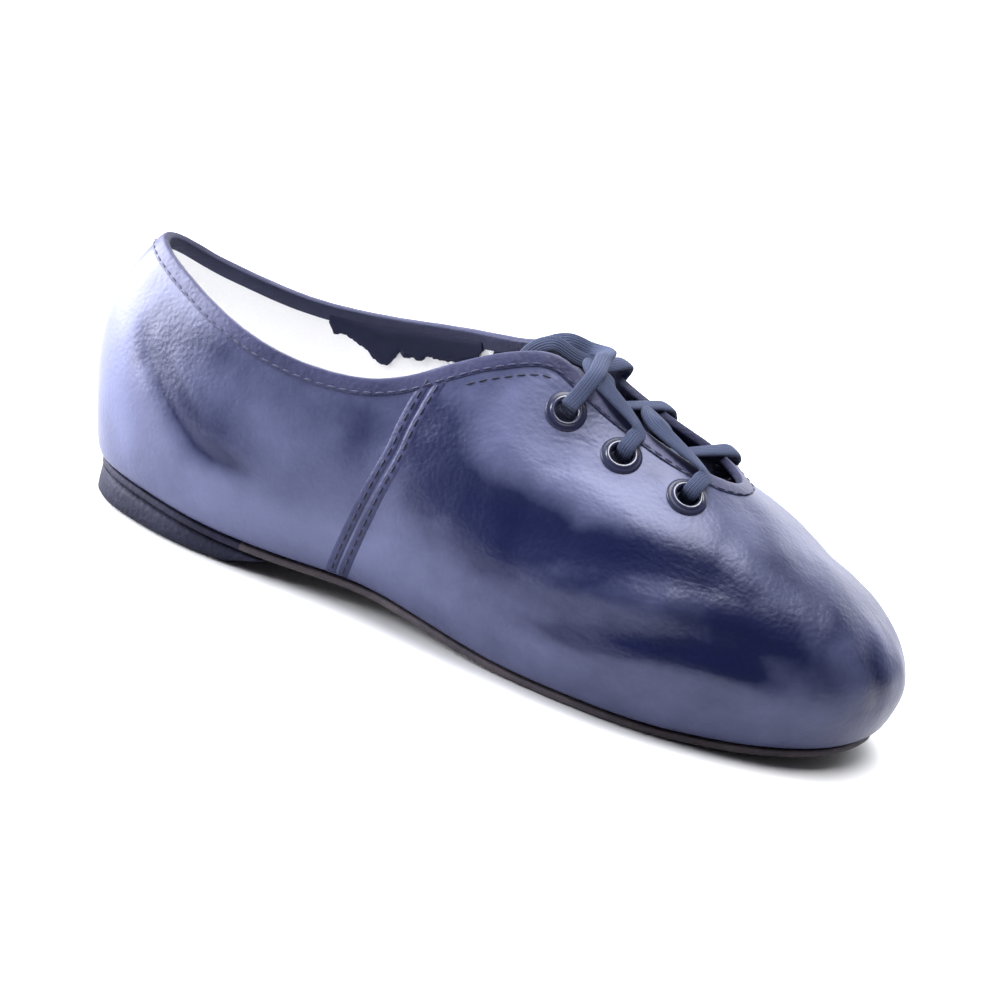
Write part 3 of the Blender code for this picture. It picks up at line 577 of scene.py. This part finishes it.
# Leaves only the outer skin of the upper, picked from its outermost face
def keepSkin(upper):
    pickUp(upper)
    bpy.ops.object.mode_set(mode="EDIT")
    mesh = bmesh.from_edit_mesh(upper.data)
    outermost = min(mesh.faces, key=lambda f: f.calc_center_median().y)
    outermost.select = True
    bmesh.update_edit_mesh(upper.data)
    bpy.ops.mesh.select_mode(type="FACE")
    bpy.ops.mesh.faces_select_linked_flat(sharpness=math.radians(60))
    bpy.ops.mesh.select_all(action="INVERT")
    bpy.ops.mesh.delete(type="FACE")
    bpy.ops.object.mode_set(mode="OBJECT")


def makeUpper():
    upper = copyOfNode("upper", "leatherUpper")
    keepSkin(upper)
    subdivide(upper, upperSet["levels"])
    loops = edgeLoops(upper)
    corners, normals = cornersOf(upper), cornersOf(upper, "normal")
    collar = max(loops[:2], key=lambda loop: corners[loop][:, 2].mean())
    edges = KDTree(sum(len(loop) for loop in loops))
    for loop in loops:
        for number in loop:
            edges.insert(Vector(corners[number]), number)
    edges.balance()
    away = np.array([edges.find(Vector(p))[2] for p in corners])
    calm = softStep(away, *upperSet["calmEdge"]) * softStep(corners[:, 2], *upperSet["calmSole"])
    lift = strokes(corners, creases) * mm
    alongShoe, still = corners[:, 0], upperSet["heelLumps"]
    livelier = still + (1 - still) * softStep(alongShoe, *upperSet["lumpsFrom"])
    for scale, height in upperSet["lumps"]:
        lift += height * unevenness(corners, scale) * livelier
    moveCorners(upper, corners + normals * (lift * calm)[:, None])
    # painted light and shade on the upper, kept as an attribute that its leather reads
    paintOn(upper, "paintedLight", strokes(corners, paintedLightStrokes))
    least, more = upperSet["crinkle"]
    toe = 1 - upperSet["toeCalm"] * softStep(alongShoe, *upperSet["toeFrom"])
    paintOn(upper, "wrinkled", least + more * softStep(alongShoe, *upperSet["crinkleFrom"]) * toe)
    upper.data.materials.append(looks["upperLeather"])
    upper.data.materials.append(whiteLining)
    wall = {"thickness": upperSet["wall"], "offset": -1.0, "use_even_offset": True, "material_offset": 1}
    useModifier(upper, "SOLIDIFY", **wall)
    splitLining(upper)
    settle(upper, None, ("upper",))
    return upper, (corners[collar], normals[collar])


leatherUpper, rim = makeUpper()    # rim is the places and outward ways of the top edge
leatherTree = treeOf(leatherUpper)
print("upper made", len(leatherUpper.data.polygons), "faces")


# Binding, tongue, soles and heel: the CAD's shapes, softened or sharpened as their stuff is

def smoothCopy(node, name, levels=2):
    piece = copyOfNode(node, name)
    subdivide(piece, levels)
    return piece


# A copy that is smooth along its outline and keeps its sharp edges
def firmCopy(node, name, levels=2, sharp=35, crease=0.9, smoothBelow=40):
    piece = copyOfNode(node, name)
    mesh = bmesh.new()
    mesh.from_mesh(piece.data)
    layer = mesh.edges.layers.float.new("crease_edge")
    for edge in mesh.edges:
        if edge.is_manifold and edge.calc_face_angle() > math.radians(sharp):
            edge[layer] = crease
    mesh.to_mesh(piece.data)
    mesh.free()
    subdivide(piece, levels)
    pickUp(piece)
    bpy.ops.object.shade_smooth_by_angle(angle=math.radians(smoothBelow))
    return piece


bindingSet = {
    "near": 0.00006, "press": 0.55, "gap": 0.0003,
    "lumps": ((220, 1.0), (600, 0.5)), "unevenness": 0.00008,
    "opening": (-0.005, 0.125), "insideTo": 0.11, "facesIn": 0.3,
}


# The bound edge: the CAD's channel pressed on to the leather
def makeBinding():
    binding = smoothCopy("collar_binding", "collarBinding", 1)
    corners = cornersOf(binding)
    for i, point in enumerate(corners):
        foot, _, _, off = leatherTree.find_nearest(Vector(point))
        if off > 0:
            reach = bindingSet["near"] + max(off - bindingSet["gap"], 0) * bindingSet["press"]
            corners[i] = foot + (Vector(point) - foot) * (reach / off)
    moveCorners(binding, corners)
    subdivide(binding, 1)
    corners, normals = cornersOf(binding), cornersOf(binding, "normal")
    lumps = sum(share * unevenness(corners, scale) for scale, share in bindingSet["lumps"])
    moveCorners(binding, corners + normals * (lumps * bindingSet["unevenness"])[:, None])
    # the faces that look into the opening get the darker copy of the binding leather, as painted shade
    binding.data.materials.append(looks["bindingLeather"])
    binding.data.materials.append(looks["bindingShaded"])
    for face in binding.data.polygons:    # what faces the opening is the inside
        middle = min(max(face.center.x, 0.0), bindingSet["insideTo"])
        inward = Vector((middle, 0.0, face.center.z)) - face.center
        if face.normal.dot(inward) > bindingSet["facesIn"] * inward.length:
            face.material_index = 1
    return settle(binding, None, ("collar_binding",))


darkStops = 0.006    # the sole's edge is dark like the heel, up to this far behind the heel's front
bindingTree = treeOf(makeBinding())
tongueTree = treeOf(settle(smoothCopy("tongue", "softTongue"), looks["tongueShadedLeather"], ("tongue",)))
thinSole = settle(firmCopy("outsole", "thinSole"), looks["soleEdge"], ("outsole",), smooth=False)
thinSole.data.materials.append(looks["soleDark"])
heelFront = max(corner[0] for corner in cornersOf(cadNodes["heel"]))
for face in thinSole.data.polygons:
    if face.center.x < heelFront - darkStops:
        face.material_index = 1
settle(firmCopy("heel", "rubberHeel"), looks["heelRubber"], ("heel",), smooth=False)
settle(firmCopy("insole", "whiteInsole", 1), whiteLining, ("insole",), smooth=False)
print("binding, tongue and soles made")


# Seams and stitches, in millimetres

seamSet = {
    "topAt": 60.3, "underBinding": 2.2,
    "line": ((58.3, 49.0), (57.5, 41.1), (55.4, 32.0), (52.8, 20.0), (50.6, 10.5), (50.0, 7.4)),    # x and z
    # across the seam: distance from its groove and height above the leather
    "profile": (
        (0.10, -0.12), (0.40, 0.12), (0.85, 0.22), (1.40, 0.17), (2.00, 0.20), (2.60, 0.08), (3.40, -0.20),
    ),
    "rows": (-1.45, 1.45), "rowHeight": 0.17,
}
backSet = {
    "profile": ((0.10, -0.06), (0.45, 0.16), (1.30, 0.20), (2.10, 0.12), (2.60, -0.25)),
    "high": 64.0, "low": 9.0, "steps": 60,
}
stitchSet = {
    "pitch": 2.9, "length": 2.1, "thick": 0.50,
    "underEdge": 3.1, "overLeather": 1.2,    # the row round the binding
    "secondRow": 5.6, "secondSpan": (62.5, 87.0),
}


# Point and outward way of the leather beside a place on one side
def onSide(x, z, side):
    start = Vector((x * mm, side * 0.1, z * mm))
    point, way, _, _ = leatherTree.ray_cast(start, Vector((0, -side, 0)))
    return point, way


# Close points on a smooth curve through the given ones, and the place of each given one
def smoothLine(points, step):
    run = np.array([tuple(p) for p in points])
    longer = np.vstack([2 * run[0] - run[1], run, 2 * run[-1] - run[-2]])
    line, places = [], []
    for i in range(len(run) - 1):
        a, b, c, d = longer[i : i + 4]
        places.append(len(line))
        count = max(2, round(np.linalg.norm(c - b) / step))
        for t in np.arange(count) / count:
            bend = (2 * a - 5 * b + 4 * c - d) * t**2 + (3 * b - a - 3 * c + d) * t**3
            line.append(0.5 * (2 * b + (c - a) * t + bend))
    places.append(len(line))
    line.append(run[-1])
    return np.array(line), places


# Points at even steps along a line, with the way it runs at each
def evenly(points, pitch, closed=False):
    line = np.array([tuple(p) for p in points])
    if closed:
        line = np.vstack([line, line[:1]])
    lengths = alongLine(line)
    count = max(2, round(lengths[-1] / pitch))
    at = (np.arange(count) + 0.5) * lengths[-1] / count
    ahead, behind = readAt(at + 0.4 * mm, lengths, line), readAt(at - 0.4 * mm, lengths, line)
    return readAt(at, lengths, line), unit(ahead - behind)


def stitchShape():
    clearSelection()
    bpy.ops.mesh.primitive_uv_sphere_add(segments=8, ring_count=6, radius=0.5, location=(0, 0, 0))
    stitch = bpy.context.object
    size = (stitchSet["length"] * mm, stitchSet["thick"] * mm, stitchSet["thick"] * mm)
    bpy.ops.object.mode_set(mode="EDIT")
    bpy.ops.transform.rotate(value=math.pi / 2, orient_axis="Y", center_override=(0, 0, 0))
    bpy.ops.transform.resize(value=size, center_override=(0, 0, 0))
    closeUp()
    verts = cornersOf(stitch)
    faces = [tuple(face.vertices) for face in stitch.data.polygons]
    bpy.data.objects.remove(stitch)
    return verts, faces


# One piece with the stitches of several rows, each laid on the surface of tree
def sewRows(name, rows, tree, material, sink):
    verts, faces, shape = [], [], stitchShape()
    for row, closed in rows:
        for place, way in zip(*evenly(row, stitchSet["pitch"] * mm, closed)):
            foot, face, _, _ = tree.find_nearest(Vector(place))
            along = Vector(way) - face * face.dot(Vector(way))
            along.normalize()
            turn = np.array(Matrix((along, face.cross(along), face)).transposed())
            middle = np.array(foot + face * (stitchSet["thick"] / 2 - sink) * mm)
            start = len(verts)
            verts += list(shape[0] @ turn.T + middle)
            faces += [tuple(start + v for v in face) for face in shape[1]]
    settle(newPiece(name, verts, faces), material)


# A raised strip along points of the leather. sides holds each point's outward way, and profile
# the distance from its middle and the height of each of its edges.
def layStrip(name, line, sides, profile, material, under=0.7):
    line = np.array([tuple(p) for p in line])
    both = [(-d, h) for d, h in reversed(profile)] + list(profile)
    both += [(profile[-1][0], -under), (-profile[-1][0], -under)]
    verts = []
    for point, way, side in zip(line, unit(np.gradient(line, axis=0)), sides):
        across = np.cross(np.array(tuple(side)), way)
        across /= np.linalg.norm(across)
        for off, height in both:
            near, face, _, _ = leatherTree.find_nearest(Vector(point + across * off * mm))
            verts.append(np.array(near) + np.array(face) * height * mm)
    strip = newPiece(name, verts, tubeFaces(len(line), len(both)))
    turnOutwards(strip)
    settle(strip, material)


def sewSideSeam(side, name):
    edge = min((p for p in rim[0] if p[1] * side > 0), key=lambda p: abs(p[0] - seamSet["topAt"] * mm))
    start = (seamSet["topAt"], 0, edge[2] / mm - seamSet["underBinding"])
    line, _ = smoothLine([start] + [(x, 0, z) for x, z in seamSet["line"]], 0.6)
    found = [onSide(x, z, side) for x, _, z in line]
    line = [point for point, _ in found]
    layStrip(name + "Seam", line, [way for _, way in found], seamSet["profile"], looks["seamLeather"])
    rows = []
    ways = np.gradient(np.array([tuple(p) for p in line]), axis=0)
    for off in seamSet["rows"]:
        row = []
        for (point, face), way in zip(found, ways):
            row.append(point + face.cross(Vector(way)).normalized() * off * mm)
        rows.append((row[2:-1], False))
    sink = stitchSet["thick"] / 2 - seamSet["rowHeight"] - 0.12
    sewRows(name + "Stitches", rows, leatherTree, seamThread, sink)


# The way from each point of the top edge along the leather, away from the opening
def rimAway():
    corners, normals = rim
    edge = np.roll(corners, -1, axis=0) - np.roll(corners, 1, axis=0)
    away = unit(np.cross(edge, normals))
    towards = -corners.copy()
    towards[:, 0] += np.clip(corners[:, 0], *bindingSet["opening"])
    towards[:, 2] = 0
    towards /= np.linalg.norm(towards, axis=1)[:, None] + 1e-9
    wrong = ((-0.5 * towards + np.array((0, 0, -1.0))) * away).sum(axis=1) < 0
    away[wrong] *= -1
    return away


# Numbers of the top edge's points on one side of the shoe between two places along it
def rimStretch(side, start, end, clear=0.0):
    corners = rim[0]
    chosen = [i for i, (x, y, _) in enumerate(corners / mm) if y * side > clear and start < x < end]
    return sorted(chosen, key=lambda i: corners[i][0])


# A row of stitches all round the binding, and a second row under it on the quarters' front
def sewBinding():
    corners, normals = rim
    away = rimAway()
    row = corners + away * stitchSet["underEdge"] * mm + normals * stitchSet["overLeather"] * mm
    row = [Vector(p) for p in row]
    sewRows("bindingStitches", [(row, True)], bindingTree, paleThread, 0.22)
    rows = []
    for side in (outer, inner):
        chosen = rimStretch(side, *stitchSet["secondSpan"])
        rows.append(([Vector(corners[i] + away[i] * stitchSet["secondRow"] * mm) for i in chosen], False))
    sewRows("frontStitches", rows, leatherTree, seamThread, 0.2)


# The seam down the middle of the back, under a narrow strip
def sewBackSeam():
    heights = np.linspace(backSet["high"], backSet["low"], backSet["steps"])
    found = [leatherTree.ray_cast(Vector((-0.1, 0, z * mm)), Vector((1, 0, 0))) for z in heights]
    found = [hit for hit in found if hit[0] is not None and hit[0].x < 0]
    line, sides = [hit[0] for hit in found], [hit[1] for hit in found]
    layStrip("backSeam", line, sides, backSet["profile"], looks["bindingShaded"])


# A dark sheet inside the collar's inner side, painted shade where the inside lies in shadow: place along
# the shoe and depth under the top edge, in millimetres. Its lower edge is ragged.
collarShadeSet = {
    "depths": (
        (16.0, 4.4), (17.5, 7.4), (19.5, 6.6), (22.0, 7.6), (25.0, 9.0), (28.5, 12.2), (31.0, 12.8),
        (32.5, 10.6), (34.0, 8.8), (35.2, 9.8), (37.0, 9.6), (39.5, 10.0), (41.0, 8.6), (45.0, 9.2),
        (50.0, 9.0), (54.0, 7.4), (56.0, 4.4),
    ),
    "reach": (14.0, 58.0), "clear": 4.0, "from": 2.4, "thickness": 0.35, "off": 0.25, "rows": 5, "step": 0.5,
}


def hangCollarShade():
    chosen = rimStretch(inner, *collarShadeSet["reach"], collarShadeSet["clear"])
    known = rim[0][chosen, 0] / mm
    marks = np.arange(collarShadeSet["depths"][0][0], collarShadeSet["depths"][-1][0] + 0.01, collarShadeSet["step"])
    edge, down = (readAt(marks, known, source[chosen]) for source in (rim[0], rimAway()))
    depths = np.interp(marks, *zip(*collarShadeSet["depths"]))
    for height, often, row in ((0.5, 0.9, 0), (0.3, 2.7, 5)):    # two waves of raggedness along the sheet's lower edge
        depths += np.array([height * noise.noise(Vector((m * often, row, 0))) for m in marks])
    verts = []
    for top, way, depth in zip(edge, down, depths):
        line = []
        for share in np.linspace(0, 1, collarShadeSet["rows"]):
            spot = Vector(top + way * (collarShadeSet["from"] + (depth - collarShadeSet["from"]) * share) * mm)
            hit, face, _, _ = leatherTree.ray_cast(Vector((spot.x, 0, spot.z)), Vector((0, 1, 0)))
            line.append((hit, face))
        verts += [hit + face * collarShadeSet["off"] * mm for hit, face in line]
        verts += [hit + face * (collarShadeSet["off"] + collarShadeSet["thickness"]) * mm for hit, face in reversed(line)]
    collarShade = newPiece("collarShadeSheet", verts, tubeFaces(len(marks), 2 * collarShadeSet["rows"]))
    turnOutwards(collarShade)
    settle(collarShade, collarShadeCloth)


sewSideSeam(outer, "outerSide")
sewSideSeam(inner, "innerSide")
sewBackSeam()
sewBinding()
hangCollarShade()
print("seams sewn")


# Eyelets: one ring turned and copied to its six places

eyeletSet = {
    # radius and height above the leather of each turn of the ring, in millimetres
    "ring": (
        (2.55, -2.2), (2.55, 0.1), (2.62, 0.55), (2.85, 0.92), (3.20, 1.08), (3.55, 0.98), (3.80, 0.74),
        (4.05, 0.60), (4.55, 0.52), (4.95, 0.20), (4.90, 0.02), (3.05, -0.02), (2.85, -0.3), (2.85, -2.2),
    ),
    "sides": 48, "flange": 1.0, "brightFrom": 2.70, "brightTo": 3.75, "brightAbove": 0.3,
}


# Middle, outward axis and direction towards the throat of each CAD eyelet
def eyeletFrames():
    found = {}
    for side, inwards in (("outer", 1), ("inner", -1)):
        for number in (1, 2, 3):
            corners = cornersOf(cadNodes[f"eyelet_{side}_{number}"])
            middle = corners.mean(axis=0)
            _, _, axes = np.linalg.svd(corners - middle)
            axis = Vector(axes[2])
            if axis.z < 0:
                axis = -axis
            high = max((Vector(p) - Vector(middle)).dot(axis) for p in corners)
            seat = Vector(middle) + axis * (high - eyeletSet["flange"] * mm)    # on the leather
            towards = Vector((0, inwards, 0))
            found[side, number] = seat, axis, (towards - axis * towards.dot(axis)).normalized()
    return found


eyeletPlaces = eyeletFrames()


def makeEyelet():
    clearSelection()
    profile = [(r * mm, z * mm) for r, z in eyeletSet["ring"]]
    radius, height = profile[0]
    bpy.ops.mesh.primitive_circle_add(vertices=eyeletSet["sides"], radius=radius, location=(0, 0, 0))
    ring = bpy.context.object
    bpy.ops.object.mode_set(mode="EDIT")
    bpy.ops.transform.translate(value=(0, 0, height))
    for wider, higher in profile[1:] + profile[:1]:
        bpy.ops.mesh.extrude_edges_move(TRANSFORM_OT_translate={"value": (0, 0, higher - height)})
        bpy.ops.transform.resize(value=(wider / radius, wider / radius, 1), center_override=(0, 0, higher))
        radius, height = wider, higher
    bpy.ops.mesh.select_all(action="SELECT")
    bpy.ops.mesh.remove_doubles(threshold=mergeWithin)
    bpy.ops.mesh.normals_make_consistent(inside=False)
    closeUp()
    subdivide(ring, 1)
    return ring


def placeEyelets():
    ring = makeEyelet()
    for (side, number), (seat, axis, throat) in eyeletPlaces.items():
        piece = ring.copy()
        piece.data = ring.data.copy()
        piece.name = piece.data.name = f"eyelet_{side}_ring_{number}"
        bpy.context.scene.collection.objects.link(piece)
        turn = Matrix((throat.cross(axis), throat, axis)).transposed().to_4x4()
        turn.translation = seat
        piece.data.materials.clear()
        piece.data.materials.append(eyeletEnamel)
        piece.data.materials.append(eyeletMetal)
        for face in piece.data.polygons:
            radius = math.hypot(face.center.x, face.center.y) / mm
            bright = eyeletSet["brightFrom"] < radius < eyeletSet["brightTo"]
            if bright and face.center.z > eyeletSet["brightAbove"] * mm:
                face.material_index = 1
        piece.data.transform(turn)
        node = f"eyelet_{side}_{number}"
        settle(piece, None, (node,))
    bpy.data.objects.remove(ring)


placeEyelets()
print("eyelets placed")


# Lace: flat and woven. Its two runs start under the leather beside the lowest eyelets, cross twice
# over the tongue and reach the top eyelets. From there its two ends go over the throat and inside.

laceSet = {"width": 4.0, "thickness": 1.3, "round": 16, "step": 0.6, "roundness": 0.75, "clear": 0.06}

# Places of a run at an eyelet, in millimetres out of the leather, towards the throat and towards
# the heel, and the shares of the first two in the way that its flat side looks
laceSteps = {
    "start": ((-3.6, 6.0, 0, (1, 0)), (-3.7, 2.6, 0, (1, 0))),
    "under": ((-3.6, 5.2, 0, (1, 0)), (-3.75, 2.2, 0, (1, 0))),
    "through": (
        (-2.6, 0.9, 0, (0, 1)), (0.2, 0.9, 0, (0, 1)), (1.9, 1.6, 0, (1, -1)), (2.15, 4.4, 0, (1, 0)),
    ),
    "over": ((1.7, 8.6, 1.5, (1, 1)),),
}

# Points of a strand between the edges, in millimetres from the middle of its crossing on the
# tongue: the strands off the outer eyelets lie on top, slack and bowed towards the heel
strandBends = {
    "outer": ((-4.8, -9.6, 8.9), (-8.0, -3.4, 9.3), (-4.0, 5.0, 4.2)),
    "inner": ((-1.0, 0.0, 1.3),),
}

# The free ends repeat the CAD's route points, in metres
outerEnd = (
    (0.0917, -0.0202, 0.0628), (0.0929, -0.0170, 0.0660), (0.0940, -0.0125, 0.0703),
    (0.0924, -0.0034, 0.0718), (0.0917, 0.0021, 0.0720), (0.0869, 0.0046, 0.0708),
    (0.0814, 0.0031, 0.0714), (0.0764, 0.0016, 0.0683), (0.0744, 0.0011, 0.0623),
)
innerEnd = (
    (0.0909, 0.0203, 0.0610), (0.0924, 0.0171, 0.0641), (0.0941, 0.0126, 0.0684),
    (0.0904, 0.0036, 0.0681), (0.0859, -0.0024, 0.0696), (0.0804, -0.0049, 0.0716),
    (0.0759, -0.0059, 0.0683), (0.0739, -0.0059, 0.0623),
)

up = Vector((0, 0, 1))
onEdge = Vector((0.25, -0.75, 0.60))    # the way a slack strand's flat side looks


# Carries the lace's flat side along its line, and turns it evenly to the ways wanted at places;
# either of its two flat sides will do
def turnFlatSide(ways, places, wanted):
    face = wanted[0] - ways[0] * wanted[0].dot(ways[0])
    faces = [face / np.linalg.norm(face)]
    for way in ways[1:]:
        face = faces[-1] - way * faces[-1].dot(way)
        faces.append(face / np.linalg.norm(face))
    faces = np.array(faces)
    twists, last = [], 0.0
    for place, want in zip(places, wanted):
        across = np.cross(ways[place], faces[place])
        angle = math.atan2(want.dot(across), want.dot(faces[place]))
        last = angle - math.pi * round((angle - last) / math.pi)
        twists.append(last)
    twist = np.interp(np.arange(len(ways)), places, twists)[:, None]
    return faces * np.cos(twist) + np.cross(ways, faces) * np.sin(twist)


# Lengthwise and round places for the weave, with the seam's corners at the end of the round
def layWeave(piece, lengths, count):
    weave = piece.data.uv_layers.new(name="weave")
    for face in piece.data.polygons:
        numbers = {corner: piece.data.loops[corner].vertex_index for corner in face.loop_indices}
        closes = any(number % count == count - 1 for number in numbers.values())
        for corner, number in numbers.items():
            around = 1.0 if closes and number % count == 0 else (number % count) / count
            weave.data[corner].uv = (lengths[number // count] / (laceSet["width"] * mm), around)


# A flat lace along a smooth line through the points. faceWays are the ways that its flat side
# looks at each of them.
def flatTube(name, points, faceWays):
    line, places = smoothLine(points, laceSet["step"] * mm)
    ways = unit(np.gradient(line, axis=0))
    turned = turnFlatSide(ways, places, np.array([tuple(w) for w in faceWays], float))
    across = np.cross(ways, turned)
    count, roundness, verts = laceSet["round"], laceSet["roundness"], []
    for k in range(len(line)):
        for i in range(count):
            c, s = math.cos(math.tau * i / count), math.sin(math.tau * i / count)
            wide = laceSet["width"] / 2 * mm * math.copysign(abs(c) ** roundness, c)
            thick = laceSet["thickness"] / 2 * mm * math.copysign(abs(s) ** roundness, s)
            verts.append(line[k] + across[k] * wide + turned[k] * thick)
    piece = newPiece(name, verts, tubeFaces(len(line), count))
    lengths = alongLine(line)
    layWeave(piece, lengths, count)
    turnOutwards(piece)
    print(name, "length", round(float(lengths[-1]), 4))
    return piece, line, float(lengths[-1])


def atEyelet(side, number, steps):
    seat, axis, throat = eyeletPlaces[side, number]
    found = []
    for out, near, back, (outShare, nearShare) in laceSteps[steps]:
        place = seat + axis * out * mm + throat * near * mm - Vector((back, 0, 0)) * mm
        found.append((place, (axis * outShare + throat * nearShare).normalized()))
    return found


def isInside(tree, point):
    way, count, at = Vector((0.31, 0.43, 0.85)).normalized(), 0, Vector(point)
    while True:
        hit, _, _, _ = tree.ray_cast(at, way)
        if hit is None:
            return count % 2 == 1
        count += 1
        at = hit + way * 0.001 * mm


# The lace bears on what it lies on: corners that dip into it come out on its surface
def liftOut(piece, trees):
    corners = cornersOf(piece)
    for tree in trees:
        for i, point in enumerate(corners):
            foot, face, _, away = tree.find_nearest(Vector(point))
            if away < mm and isInside(tree, point):
                corners[i] = foot + face * laceSet["clear"] * mm
    moveCorners(piece, corners)


# The two runs of the lace, from beside the lowest eyelets to the top ones
def crossedLace(ends):
    under = [tongueTree, leatherTree, bindingTree] + [treeOf(end) for end in ends]
    for name, side in (("laceRunOuter", "outer"), ("laceRunInner", "inner")):
        points = atEyelet(side, 3, "start")
        for number in (3, 2):
            other = "inner" if side == "outer" else "outer"
            points += atEyelet(side, number, "through") + atEyelet(side, number, "over")
            crossing = (eyeletPlaces[side, number][0] + eyeletPlaces[other, number - 1][0]) / 2
            top, _, _, _ = tongueTree.ray_cast(Vector((crossing.x, 0, 0.2)), -up)
            flatWay = onEdge if side == "outer" else up
            points += [(top + Vector(bend) * mm, flatWay) for bend in strandBends[side]]
            points += atEyelet(other, number - 1, "under")
            side = other
        points += atEyelet(side, 1, "through")[:2]
        piece, _, _ = flatTube(name, *zip(*points))
        liftOut(piece, under)
        under.append(treeOf(piece))
        settle(piece, laceCotton, ("lace_crossing_low", "lace_crossing_high"))


def laceEnd(name, node, side, route):
    _, axis, throat = eyeletPlaces[side, 1]
    ways = [axis, (axis + throat).normalized(), (up + onEdge).normalized()] + [onEdge] * (len(route) - 3)
    piece, line, length = flatTube(name, route, ways)
    settle(piece, laceCotton, (node,))
    return piece


crossedLace([
    laceEnd("laceEndOuter", "lace_end_outer", "outer", outerEnd),
    laceEnd("laceEndInner", "lace_end_inner", "inner", innerEnd),
])
print("lace made")


# Floor and light

stageSet = {
    "floorSize": 12, "floor": (0.66, 0.66, 0.67, 1.0), "floorRoughness": 0.7,
    "sky": (0.90, 0.91, 1.0, 1.0), "skyPower": 0.10,
}


def setStage():
    clearSelection()
    bpy.ops.mesh.primitive_plane_add(size=stageSet["floorSize"], location=(0, 0, 0))
    floor = bpy.context.object
    floor.name = "floor"
    material, _, shader = newMaterial("paleFloor")
    feed(shader, {"Base Color": stageSet["floor"], "Roughness": stageSet["floorRoughness"]})
    floor.data.materials.append(material)
    world = bpy.data.worlds.new("studio")
    bpy.context.scene.world = world
    world.use_nodes = True
    background = world.node_tree.nodes["Background"]
    feed(background, {"Color": stageSet["sky"], "Strength": stageSet["skyPower"]})
    bpy.context.scene.view_settings.view_transform = "Standard"


lamps = (    # name, place, aim, width, height, power, colour
    ("overhead", (0.12, 0.05, 0.95), (0.08, 0.0, 0.0), 0.8, 0.6, 24.0, (1.0, 1.0, 1.0)),
    ("backWall", (0.14, 2.63, 1.28), (0.05, 0.0, 0.05), 4.2, 2.28, 122.5, (0.95, 0.96, 1.0)),
    ("heelSide", (-1.1, -0.05, 0.45), (0.0, 0.0, 0.03), 1.2, 0.8, 78.0, (0.95, 0.96, 1.0)),
)


def setLamps():
    for name, place, aim, width, height, power, colour in lamps:
        data = bpy.data.lights.new(name, "AREA")
        data.shape, data.size, data.size_y = "RECTANGLE", width, height
        data.energy, data.color = power, colour
        lamp = bpy.data.objects.new(name, data)
        bpy.context.scene.collection.objects.link(lamp)
        lamp.location = place
        aimed = Vector(aim) - Vector(place)
        lamp.rotation_euler = aimed.to_track_quat("-Z", "Y").to_euler()
        lamp.visible_camera = False


setStage()
setLamps()
print("stage and lamps set")
